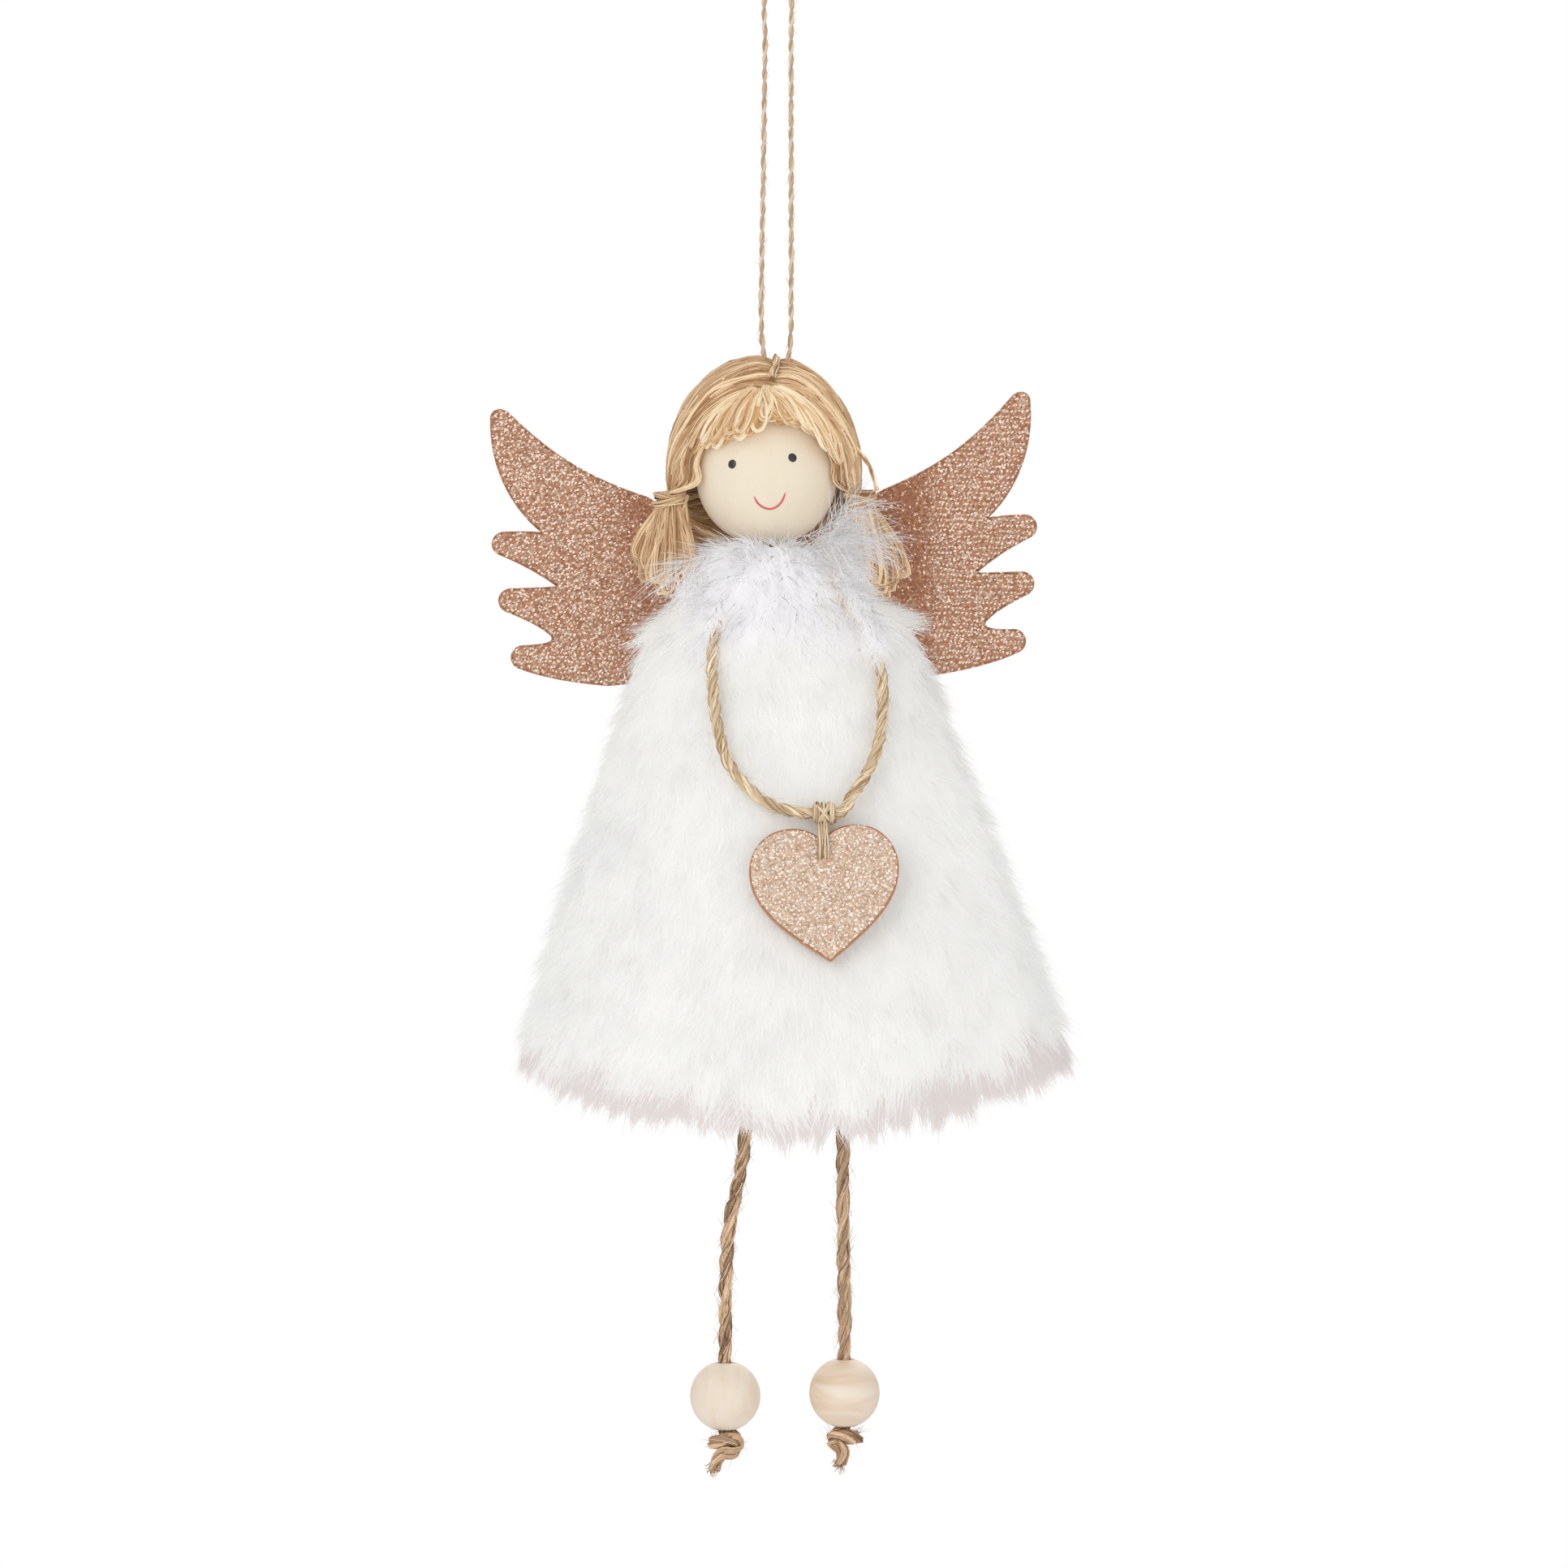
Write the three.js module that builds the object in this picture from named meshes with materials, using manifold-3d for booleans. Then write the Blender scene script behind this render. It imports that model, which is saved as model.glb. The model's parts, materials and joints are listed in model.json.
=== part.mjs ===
// A hanging plush angel: a stuffed fur dress under a wooden bead head with jute hair, a pair of glitter
// wings, a feather collar, a rope necklace with a heart, and two rope legs that end in wooden beads.
// Millimetres and degrees, +Z up, front towards -Y, +X to the viewer's right.
// The origin is the top of the hanging loop.

import * as THREE from 'three';
import { mergeVertices } from 'three/addons/utils/BufferGeometryUtils.js';
import Module from 'manifold-3d';

const wasm = await Module();
wasm.setup();

// Clearances
const GAP = 0.3; // between pieces that lie on each other
const RUN = 0.4; // round a cord in a bore that turns or slides on it

// Hanging loop, and the doubled twine through the head
const TWINE_D = 1.0;
const TWINE_SPACING = 1.2; // between the two strands in the bore
const LOOP_HEIGHT = 64.4; // from the loop's top to the crown tie
const LOOP_GAP = 4.6; // between the two hanging strands
const LOOP_X = 0.1;
const STOP_KNOT_D = 5.0;

// Head bead
const HEAD_D = 24.9;
const HEAD_BORE_D = 3.4;
const HEAD_X = -1.9; // the head hangs a little left of the loop

// Hair
const HAIR_CROWN = 8.1; // thickness of the hank over the head
const HAIR_SIDE = 4.8;
const HAIR_BACK = 1.5;
const HAIR_SHIFT = new THREE.Vector3(-0.55, 1.5, -1.5); // of the hank from the head's centre
const HAIR_FRONT_EDGE = 6.2; // the hank's front edge lies this far forward at the crown
const HAIR_FRONT_LEAN = 9;
const NAPE_SLOPE = 26; // the lower edge falls towards the nape
const NAPE_DROP = 2.0; // of that edge below the head's centre
const FRINGE = 3.0; // thickness of the fringe over the forehead
const FRINGE_DROP = 2.4; // the fringe's lowest ends, above the head's centre
const FACE_ARCH_D = 27.4; // of the arched lower line of the fringe
const FACE_ARCH_TOP = 8.4; // of that arch above the head's centre
const CROWN_TIE_D = 1.3;
const CROWN_TIE_X = 1.7; // from the head's axis
const SLOT_LENGTH = 8.6; // the parting in the crown where the twine comes out
const SLOT_WIDTH = 4.4;

// Pigtails
const PIGTAIL_LENGTH = 18.6;
const PIGTAIL_HALF_W = 5.4;
const PIGTAIL_HALF_D = 4.0;
const PIGTAIL_NECK_D = 3.8;
const PIGTAIL_TIE_D = 1.5;
const PIGTAIL_OUT = 16.4; // of each tie from the middle of the hair
const PIGTAILS = [
  { side: 'left', sign: -1, spread: 1.6, forward: 0.6 },
  { side: 'right', sign: 1, spread: 5.0, forward: -2.4 },
];

// Dress: plush cloth with its pile, over stuffing, closed by a base panel
const DRESS_X = -0.3;
const LEAN = 1.9; // the figure hangs a little tilted, hem to the right
const DRESS_LENGTH = 102.4; // from the neck to the middle of the hem
const NECK_R = 6.0;
const NECK_HOLE_D = 4.4;
const NECK_WALL = 5.5; // gathered cloth at the neck
const SHOULDER_DROP = 15.0;
const SHOULDER_HALF_W = 23.4;
const SHOULDER_HALF_D = 14.0;
const SHOULDER_CURVE = 1.3;
const HEM_HALF_W = 53.2; // as if the hem were cut straight
const HEM_HALF_D = 31.0;
const BELLY = 1.8; // swell of the stuffed front and back
const HEM_RISE = 12.5; // the hem's arc rises to the side seams
const PLUSH = 5.0; // cloth and pile
const STUFFING_DROP = 12.5;
const PANEL_RECESS = 5.0; // of the base panel above the hem
const PANEL_T = 1.5;

// Wings, one flat sheet
const WING_X = -1.1;
const WING_DROP = 3.8;
const WING_HALF_SPAN = 47.9;
const WING_HEIGHT = 50.0;
const WING_T = 1.8;
const WING_ROOT = 0.33; // of the height, from the shoulder line down to the lower edge in the middle
const WING_TIP_R = 1.7;
const FEATHER_TIP_R = 2.2;

// Feather collar
const COLLAR_HALF_W = 11.4;
const COLLAR_HALF_D = 15.0;
const COLLAR_HALF_H = 8.0;
const COLLAR_FORWARD = 2.5;
const COLLAR_DROP = 3.0;

// Necklace and heart
const NECKLACE_D = 2.05;
const NECKLACE_BACK_DROP = 3.6; // of the rope behind the neck
const NECKLACE_FRONT_DROP = 12.2; // where it comes out under the collar
const NECKLACE_FALL = 4; // how late the rope drops from the back of the neck to the front
const NECKLACE_LEFT_ANGLE = 237; // round the neck, from the viewer's right
const NECKLACE_RIGHT_ANGLE = -40;
const NECKLACE_END_GAP = 1.2;
const FUR_TIPS = 1.2; // the knot lies on the tips of the fur
const NECKLACE_X = 3.55; // middle of the rope's front loop
const NECKLACE_HALF_W = 14.75;
const NECKLACE_HANG = 46.7; // of the knot below the neck
const NECKLACE_LEFT_FALL = [
  [-1, 0.394], // in shares of the half width and of the hang
  [-0.993, 0.544],
  [-0.932, 0.694],
  [-0.817, 0.812],
  [-0.593, 0.906],
  [-0.281, 0.974],
];
const NECKLACE_RIGHT_RISE = [
  [0.654, 0.927],
  [0.837, 0.837],
  [0.953, 0.739],
  [1, 0.619],
  [0.986, 0.49],
  [0.885, 0.379],
];
const KNOT_X = 8.1;
const KNOT_D = 4.4;
const KNOT_LENGTH = 4.6;
const KNOT_WRAPS = 3;
const WRAP_DEPTH = 0.35;
const HEART_W = 25.8;
const HEART_H = 23.4;
const HEART_T = 2.0;
const HEART_ROLL = 4;
const HEART_HOLE_D = 2.6;
const HEART_HOLE_DROP = 3.3; // below the cleft
const HEART_CLEFT_DROP = 2.4; // below the knot
const HEART_TIE_D = 1.1;
const HEART_SHIFT = -0.2;

// Legs and feet
const LEG_D = 2.4;
const LEG_SPACING = 17.3;
const LEG_LENGTH = 52.3;
const LEG_ROOT_L = 2.4;
const ANCHOR_D = 5.2;
const ANCHOR_PROUD = 0.6;
const FOOT_D = 12.4;
const FOOT_BORE_D = LEG_D + 2 * RUN;
const FOOT_KNOT_W = 6.6;
const FOOT_KNOT_H = 4.4;
const FOOT_TAIL_D = 2.3;

// Facets
const CORD_SIDES = 8;
const ROUND = 28;
const BODY_SIDES = 32;
const BODY_RINGS = 7;
const SHOULDER_RINGS = [0.3, 0.6, 0.85]; // in shares of the shoulders' height
const RING_SIDES = 6;
const RING_STEPS = 14;
const COLLAR_SIDES = 20;
const HEM_FACETS = 72;
const FAR = 120; // longer than any piece, for cutting blocks

const rad = THREE.MathUtils.degToRad;
const at = (x, y, z) => new THREE.Vector3(x, y, z);

// Closed geometry helpers

// A closed geometry as a solid, with shared vertices, no collapsed triangles and its faces pointing out.
function solid(geometry) {
  const bare = new THREE.BufferGeometry();
  bare.setAttribute('position', geometry.getAttribute('position').clone());
  bare.setIndex(geometry.index);
  const welded = mergeVertices(bare, 1e-4);
  const corners = welded.getAttribute('position');
  const index = welded.index.array;
  const triangles = [];
  let volume = 0;
  const a = new THREE.Vector3();
  const b = new THREE.Vector3();
  const c = new THREE.Vector3();
  for (let i = 0; i < index.length; i += 3) {
    const [p, q, r] = [index[i], index[i + 1], index[i + 2]];
    if (p === q || q === r || r === p) continue;
    triangles.push([p, q, r]);
    a.fromBufferAttribute(corners, p);
    b.fromBufferAttribute(corners, q);
    c.fromBufferAttribute(corners, r);
    volume += a.dot(b.cross(c));
  }
  const outward = volume < 0 ? triangles.map(([p, q, r]) => [p, r, q]) : triangles;
  return new wasm.Manifold(
    new wasm.Mesh({
      numProp: 3,
      vertProperties: new Float32Array(corners.array),
      triVerts: new Uint32Array(outward.flat()),
    }),
  );
}

function geometryOf(body) {
  const found = body.getMesh();
  const geometry = new THREE.BufferGeometry();
  geometry.setAttribute('position', new THREE.BufferAttribute(new Float32Array(found.vertProperties), 3));
  geometry.setIndex(new THREE.BufferAttribute(new Uint32Array(found.triVerts), 1));
  geometry.computeVertexNormals();
  return geometry;
}

function ellipsoid(halfX, halfY, halfZ, centre, across = ROUND, down = ROUND / 2) {
  const geometry = new THREE.SphereGeometry(1, across, down);
  geometry.rotateX(Math.PI / 2);
  geometry.scale(halfX, halfY, halfZ);
  return solid(geometry.translate(centre.x, centre.y, centre.z));
}

// A block whose top face, tilted about X, passes through a point: it cuts away what lies below.
function blockBelow(point, tilt) {
  const geometry = new THREE.BoxGeometry(FAR, FAR, FAR);
  geometry.translate(0, 0, -FAR / 2);
  geometry.rotateX(rad(tilt));
  return solid(geometry.translate(point.x, point.y, point.z));
}

function uprightCylinder(radius, top, bottom, x, y, facets = 16) {
  const geometry = new THREE.CylinderGeometry(radius, radius, top - bottom, facets);
  geometry.rotateX(Math.PI / 2);
  return solid(geometry.translate(x, y, (top + bottom) / 2));
}

function polygon(radius, sides) {
  const corners = [];
  for (let i = 0; i < sides; i++) {
    const angle = (2 * Math.PI * i) / sides;
    corners.push(new THREE.Vector2(radius * Math.cos(angle), radius * Math.sin(angle)));
  }
  return new THREE.Shape(corners);
}

function cord(points, diameter, steps) {
  const route = new THREE.CatmullRomCurve3(points, false, 'centripetal');
  const geometry = new THREE.ExtrudeGeometry(polygon(diameter / 2, CORD_SIDES), {
    steps,
    extrudePath: route,
    bevelEnabled: false,
  });
  return solid(geometry);
}

// A body of elliptical sections, each { x, y, z, halfW, halfD }, listed from the top down.
function loft(sections, sides) {
  const corners = [];
  const index = [];
  for (const s of sections) {
    for (let i = 0; i < sides; i++) {
      const angle = (2 * Math.PI * i) / sides;
      corners.push(s.x + s.halfW * Math.cos(angle), s.y + s.halfD * Math.sin(angle), s.z);
    }
  }
  const top = corners.length / 3;
  const first = sections[0];
  const last = sections[sections.length - 1];
  corners.push(first.x, first.y, first.z, last.x, last.y, last.z);
  for (let i = 0; i < sides; i++) {
    const next = (i + 1) % sides;
    index.push(top, i, next);
    for (let ring = 0; ring + 1 < sections.length; ring++) {
      const upper = ring * sides;
      const lower = upper + sides;
      index.push(upper + i, lower + i, lower + next, upper + i, lower + next, upper + next);
    }
    const lastRing = (sections.length - 1) * sides;
    index.push(top + 1, lastRing + next, lastRing + i);
  }
  const geometry = new THREE.BufferGeometry();
  geometry.setAttribute('position', new THREE.Float32BufferAttribute(corners, 3));
  geometry.setIndex(index);
  return solid(geometry);
}

// A round bead with a straight bore along Z, centred on the origin.
function bead(diameter, bore, across, down) {
  const start = Math.asin(bore / diameter);
  const profile = [];
  for (let i = 0; i <= down; i++) {
    const angle = start + ((Math.PI - 2 * start) * i) / down;
    profile.push(new THREE.Vector2((diameter / 2) * Math.sin(angle), (diameter / 2) * Math.cos(angle)));
  }
  profile.push(profile[0].clone());
  return solid(new THREE.LatheGeometry(profile, across).rotateX(Math.PI / 2));
}

function ring(middleRadius, diameter, centre, tiltX = 0, tiltY = 0) {
  const geometry = new THREE.TorusGeometry(middleRadius, diameter / 2, RING_SIDES, RING_STEPS);
  geometry.rotateX(rad(tiltX)).rotateY(rad(tiltY));
  return solid(geometry.translate(centre.x, centre.y, centre.z));
}

// Finishes
const finish = (color, roughness, metalness = 0) =>
  new THREE.MeshStandardMaterial({ color, roughness, metalness });
const FINISHES = {
  twine: finish(0xc9a57c, 0.9),
  hair: finish(0xd6aa6e, 0.8),
  face: finish(0xf0e4d0, 0.55),
  fur: finish(0xf2f2ee, 0.95),
  stuffing: finish(0xf6f6f4, 1.0),
  lining: finish(0xecebe6, 0.95),
  wingGlitter: finish(0xc48c68, 0.45, 0.35),
  heartGlitter: finish(0xd2b29b, 0.45, 0.35),
  feathers: finish(0xebe9f0, 0.9),
  rope: finish(0xd7b487, 0.9),
  legRope: finish(0xaa825a, 0.9),
  footWood: finish(0xeedecd, 0.6),
};

function piece(name, body, material) {
  const mesh = new THREE.Mesh(geometryOf(body), FINISHES[material].clone());
  mesh.name = name;
  return mesh;
}

// Heights, worked down from the loop's top
const headR = HEAD_D / 2;
const crownTieTop = -LOOP_HEIGHT;
const hairTop = crownTieTop - CROWN_TIE_D - GAP;
const headTop = hairTop - HAIR_CROWN;
const headZ = headTop - headR;
const neckZ = headZ - Math.sqrt(headR ** 2 - (NECK_HOLE_D / 2) ** 2) - GAP;

// The dress's outline, by the distance below the neck
const bodyLength = DRESS_LENGTH - SHOULDER_DROP;
const belowShoulder = (drop) => (drop - SHOULDER_DROP) / bodyLength;

function outline(drop, shoulder, hem, swell) {
  if (drop < SHOULDER_DROP) {
    return NECK_R + (shoulder - NECK_R) * (drop / SHOULDER_DROP) ** SHOULDER_CURVE;
  }
  const share = belowShoulder(drop);
  return shoulder + (hem - shoulder) * share + swell * Math.sin(Math.PI * Math.min(share, 1));
}

const halfWidth = (drop) => outline(drop, SHOULDER_HALF_W, HEM_HALF_W, 0);
const halfDepth = (drop) => outline(drop, SHOULDER_HALF_D, HEM_HALF_D, BELLY);
const neckShift = HEAD_X - DRESS_X;
const middle = (drop) => neckShift * Math.max(0, 1 - drop / SHOULDER_DROP);

// Dress solid from a given drop down to past the hem, drawn in by an inset (or grown, if negative).
function dressForm(fromDrop, inset) {
  const drops = [fromDrop];
  for (const share of SHOULDER_RINGS) drops.push(share * SHOULDER_DROP);
  const firstRing = 0.05; // just below the shoulder line
  for (let i = 0; i <= BODY_RINGS; i++) {
    const share = firstRing + (1 - firstRing) * (i / BODY_RINGS);
    drops.push(SHOULDER_DROP + bodyLength * share);
  }
  const used = drops.filter((drop) => drop >= fromDrop);
  const sections = used.map((drop) => ({
    x: middle(drop),
    y: 0,
    z: -drop,
    halfW: halfWidth(drop) - inset,
    halfD: halfDepth(drop) - inset,
  }));
  return loft(sections, BODY_SIDES);
}

// The hem's arc is part of a lying cylinder, and so are the base panel's two faces.
const hemSide = halfWidth(DRESS_LENGTH - HEM_RISE);
const hemR = (hemSide ** 2 + HEM_RISE ** 2) / (2 * HEM_RISE);
const hemCentreZ = hemR - DRESS_LENGTH;

function hemCylinder(inset) {
  const geometry = new THREE.CylinderGeometry(hemR - inset, hemR - inset, FAR, HEM_FACETS);
  return solid(geometry.translate(0, 0, hemCentreZ));
}

const heightInHem = (inset, x) => hemCentreZ - Math.sqrt((hemR - inset) ** 2 - x ** 2);

// Where the front of the dress is at a point given in the object's own frame
function frontOfDress(x, z) {
  const [cos, sin] = [Math.cos(rad(LEAN)), Math.sin(rad(LEAN))];
  const across = (x - DRESS_X) * cos + (z - neckZ) * sin;
  const drop = (x - DRESS_X) * sin - (z - neckZ) * cos;
  const share = (across - middle(drop)) / halfWidth(drop);
  return -halfDepth(drop) * Math.sqrt(1 - share ** 2);
}

const angel = new THREE.Group();

// Hanging loop and neck twine
const twineTop = headTop + GAP;
const strandX = TWINE_SPACING / 2;
const loopR = LOOP_GAP / 2;
const loopEnd = twineTop + GAP;
const loopTopZ = -TWINE_D / 2;
const loopRight = LOOP_X + loopR;
const loopLeft = LOOP_X - loopR;
const loopBend = Math.SQRT1_2 * loopR;
const loopRoute = [
  at(HEAD_X - strandX, 0, loopEnd),
  at(-2.5, 0, hairTop - 3),
  at(-2.4, 0, hairTop + 0.6),
  at(-2.8, 0, hairTop + 4),
  at(-2.8, 0, hairTop + 14),
  at(-2.5, 0, hairTop + 32),
  at(loopLeft, 0, -10),
  at(loopLeft, 0, loopTopZ - loopR),
  at(LOOP_X - loopBend, 0, loopTopZ - loopR + loopBend),
  at(LOOP_X, 0, loopTopZ),
  at(LOOP_X + loopBend, 0, loopTopZ - loopR + loopBend),
  at(loopRight, 0, loopTopZ - loopR),
  at(loopRight, 0, -10),
  at(loopRight, 0, hairTop + 32),
  at(loopRight, 0, hairTop + 8),
  at(2.3, 0, hairTop + 4),
  at(2.0, 0, hairTop + 0.6),
  at(1.0, 0, hairTop - 3),
  at(HEAD_X + strandX, 0, loopEnd),
];
angel.add(piece('hang_loop', cord(loopRoute, TWINE_D, 48), 'twine'));

const stopKnotZ = neckZ - NECK_WALL - GAP - STOP_KNOT_D / 2;
const doubled = new THREE.Shape();
doubled.absarc(strandX, 0, TWINE_D / 2, -Math.PI / 2, Math.PI / 2);
doubled.absarc(-strandX, 0, TWINE_D / 2, Math.PI / 2, (3 * Math.PI) / 2);
const doubledTwine = new THREE.ExtrudeGeometry(doubled, {
  depth: twineTop - stopKnotZ,
  bevelEnabled: false,
  curveSegments: 4,
});
const neckTwine = solid(doubledTwine.translate(HEAD_X, 0, stopKnotZ)).add(
  ellipsoid(STOP_KNOT_D / 2, STOP_KNOT_D / 2, STOP_KNOT_D / 2, at(HEAD_X, 0, stopKnotZ), 12, 8),
);
angel.add(piece('neck_twine', neckTwine, 'twine'));

// Torso, leaning as one: dress, stuffing, base panel, wings, collar and the rope behind the neck
const torso = new THREE.Group();
torso.position.set(DRESS_X, 0, neckZ);
torso.rotation.y = rad(-LEAN);
angel.add(torso);
torso.updateMatrixWorld(true);

const neckHole = uprightCylinder(NECK_HOLE_D / 2, GAP, -NECK_WALL - GAP, neckShift, 0);
const dressSkin = dressForm(0, 0)
  .intersect(hemCylinder(0))
  .subtract(dressForm(NECK_WALL, PLUSH))
  .subtract(neckHole);
torso.add(piece('dress_skin', dressSkin, 'fur'));

const legXs = { left: -LEG_SPACING / 2, right: LEG_SPACING / 2 };
const panelTop = PANEL_RECESS + PANEL_T;
const anchorZ = (x) => heightInHem(panelTop, x) + 2 * GAP + ANCHOR_D / 2;
const lining = dressForm(STUFFING_DROP, PLUSH + GAP);

let stuffing = lining.intersect(hemCylinder(panelTop + GAP));
let basePanel = lining.intersect(hemCylinder(PANEL_RECESS)).subtract(hemCylinder(panelTop));
for (const x of Object.values(legXs)) {
  const pocketTop = anchorZ(x) + ANCHOR_D / 2 + GAP;
  const hemLine = -DRESS_LENGTH;
  stuffing = stuffing.subtract(uprightCylinder(ANCHOR_D / 2 + RUN, pocketTop, hemLine, x, 0));
  basePanel = basePanel.subtract(uprightCylinder(LEG_D / 2 + GAP, pocketTop, hemLine, x, 0, 12));
}
torso.add(piece('stuffing', stuffing, 'stuffing'));
torso.add(piece('base_panel', basePanel, 'lining'));

// Wings: half of the outline, in shares of the half span and the height, then its mirror image
function wingSheet() {
  const [s, h] = [WING_HALF_SPAN, WING_HEIGHT];
  const half = new THREE.Path();
  half.moveTo(0, 0.02 * h);
  half.bezierCurveTo(0.16 * s, 0.04 * h, 0.28 * s, 0.21 * h, 0.43 * s, 0.277 * h);
  half.bezierCurveTo(0.66 * s, 0.36 * h, 0.78 * s, 0.45 * h, 0.925 * s, 0.6 * h);
  half.absarc(0.953 * s, 0.575 * h, WING_TIP_R, rad(130), rad(10), true);
  half.bezierCurveTo(1.0 * s, 0.42 * h, 0.935 * s, 0.26 * h, 0.815 * s, 0.16 * h);
  const feathers = [
    { tip: [0.952, 0.127], notch: [0.772, -0.03] },
    { tip: [0.935, -0.076], notch: [0.805, -0.2] },
    { tip: [0.897, -0.28], notch: [0.6, -0.392] },
  ];
  for (const { tip, notch } of feathers) {
    const [x, y] = [tip[0] * s, tip[1] * h];
    half.quadraticCurveTo(x - 3 * FEATHER_TIP_R, y + FEATHER_TIP_R, x, y + FEATHER_TIP_R);
    half.absarc(x, y, FEATHER_TIP_R, rad(90), rad(-60), true);
    half.quadraticCurveTo(x - 2 * FEATHER_TIP_R, y - 2 * FEATHER_TIP_R, notch[0] * s, notch[1] * h);
  }
  half.quadraticCurveTo(0.3 * s, -0.38 * h, 0, -WING_ROOT * h);
  const right = half.getPoints(4);
  const left = right.slice(1, -1).map((p) => new THREE.Vector2(-p.x, p.y));
  const sheet = new THREE.ExtrudeGeometry(new THREE.Shape([...right, ...left.reverse()]), {
    depth: WING_T,
    bevelEnabled: false,
  });
  return sheet.rotateX(Math.PI / 2);
}

// The sheet touches the back of the dress at its lower edge.
const wingFront = halfDepth(WING_DROP + WING_ROOT * WING_HEIGHT) + GAP;
const wingBlank = wingSheet().translate(WING_X, wingFront + WING_T, -WING_DROP);
torso.add(piece('wings', solid(wingBlank), 'wingGlitter'));

// The rope behind the neck lies on the shoulders, and the collar is hollowed over it.
const ropeStand = (NECKLACE_D / 2 + GAP) * 1.5; // measured level, on sloping cloth
function neckRopePoint(angle) {
  const round = Math.sin(rad(angle));
  const fall = ((1 - round) / 2) ** NECKLACE_FALL;
  const drop = NECKLACE_BACK_DROP + (NECKLACE_FRONT_DROP - NECKLACE_BACK_DROP) * fall;
  const x = middle(drop) + (halfWidth(drop) + ropeStand) * Math.cos(rad(angle));
  const y = (halfDepth(drop) + ropeStand) * round;
  return at(x, y, -drop);
}
const neckRope = [];
const NECK_ROPE_POINTS = 14;
for (let i = 0; i <= NECK_ROPE_POINTS; i++) {
  const share = i / NECK_ROPE_POINTS;
  const turned = (NECKLACE_RIGHT_ANGLE - NECKLACE_LEFT_ANGLE) * share;
  neckRope.push(neckRopePoint(NECKLACE_LEFT_ANGLE + turned));
}
torso.add(piece('necklace_neck_rope', cord(neckRope, NECKLACE_D, 28), 'rope'));

const headInTorso = torso.worldToLocal(at(HEAD_X, 0, headZ));
const collar = ellipsoid(
  COLLAR_HALF_W,
  COLLAR_HALF_D,
  COLLAR_HALF_H,
  at(neckShift, -COLLAR_FORWARD, -COLLAR_DROP),
  COLLAR_SIDES,
  COLLAR_SIDES / 2,
)
  .subtract(ellipsoid(headR + GAP, headR + GAP, headR + GAP, headInTorso, COLLAR_SIDES))
  .subtract(dressForm(0, -GAP))
  .subtract(uprightCylinder(NECK_R, 2, -2, neckShift, 0, BODY_SIDES))
  .subtract(cord(neckRope, NECKLACE_D + 2 * GAP, 28));
torso.add(piece('feather_collar', collar, 'feathers'));

// Leg anchors: a knot above the base panel, with the rope that passes down through it
for (const [side, x] of Object.entries(legXs)) {
  const ropeEnd = heightInHem(PANEL_RECESS, x) - ANCHOR_PROUD;
  const rope = uprightCylinder(LEG_D / 2, anchorZ(x), ropeEnd, x, 0, CORD_SIDES);
  const knot = ellipsoid(ANCHOR_D / 2, ANCHOR_D / 2, ANCHOR_D / 2, at(x, 0, anchorZ(x)), 12, 8);
  torso.add(piece(`${side}_leg_anchor`, knot.add(rope), 'legRope'));
}

// Head: bead and hair turn together on the twine
const head = new THREE.Group();
head.position.set(HEAD_X, 0, headZ);
angel.add(head);
head.add(piece('head_bead', bead(HEAD_D, HEAD_BORE_D, ROUND, 14), 'face'));

const hairHalf = at(headR + HAIR_SIDE, headR + HAIR_BACK, headR + HAIR_CROWN - HAIR_SHIFT.z);
const scalp = ellipsoid(headR + GAP, headR + GAP, headR + GAP, at(0, 0, 0));
const frontEdge = (gap) => blockBelow(at(0, -HAIR_FRONT_EDGE - gap, hairTop - headZ), HAIR_FRONT_LEAN - 90);
const crownHeight = (y) => {
  const share = (y - HAIR_SHIFT.y) / hairHalf.y;
  return HAIR_SHIFT.z + hairHalf.z * Math.sqrt(1 - share ** 2);
};
const slot = new THREE.CylinderGeometry(1, 1, FAR, 20);
slot.rotateX(Math.PI / 2).scale(SLOT_LENGTH / 2, SLOT_WIDTH / 2, 1).translate(CROWN_TIE_X, 0, FAR / 2);
const hank = ellipsoid(hairHalf.x, hairHalf.y, hairHalf.z, HAIR_SHIFT);
const hairCap = hank
  .subtract(scalp)
  .subtract(solid(slot))
  .subtract(blockBelow(at(0, 0, -NAPE_DROP), -NAPE_SLOPE))
  .subtract(frontEdge(0));
head.add(piece('hair_cap', hairCap, 'hair'));

const fringeR = headR + FRINGE;
const arch = new THREE.CylinderGeometry(FACE_ARCH_D / 2, FACE_ARCH_D / 2, FAR, 40);
arch.translate(CROWN_TIE_X, 0, FACE_ARCH_TOP - FACE_ARCH_D / 2);
const fringe = ellipsoid(fringeR, fringeR, fringeR, at(0, 0, 0))
  .subtract(scalp)
  .subtract(solid(arch))
  .subtract(blockBelow(at(0, 0, FRINGE_DROP), 0))
  .intersect(frontEdge(GAP));
head.add(piece('hair_fringe', fringe, 'hair'));

// The crown tie lies over the hank from front to back.
const tieLift = GAP + CROWN_TIE_D / 2;
const crownTieRoute = [];
for (const y of [-HAIR_FRONT_EDGE + 2, -3, -1, 1, 3, 5, 7, 9]) {
  crownTieRoute.push(at(CROWN_TIE_X, y, crownHeight(y) + tieLift));
}
head.add(piece('crown_tie', cord(crownTieRoute, CROWN_TIE_D, 14), 'hair'));

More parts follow.
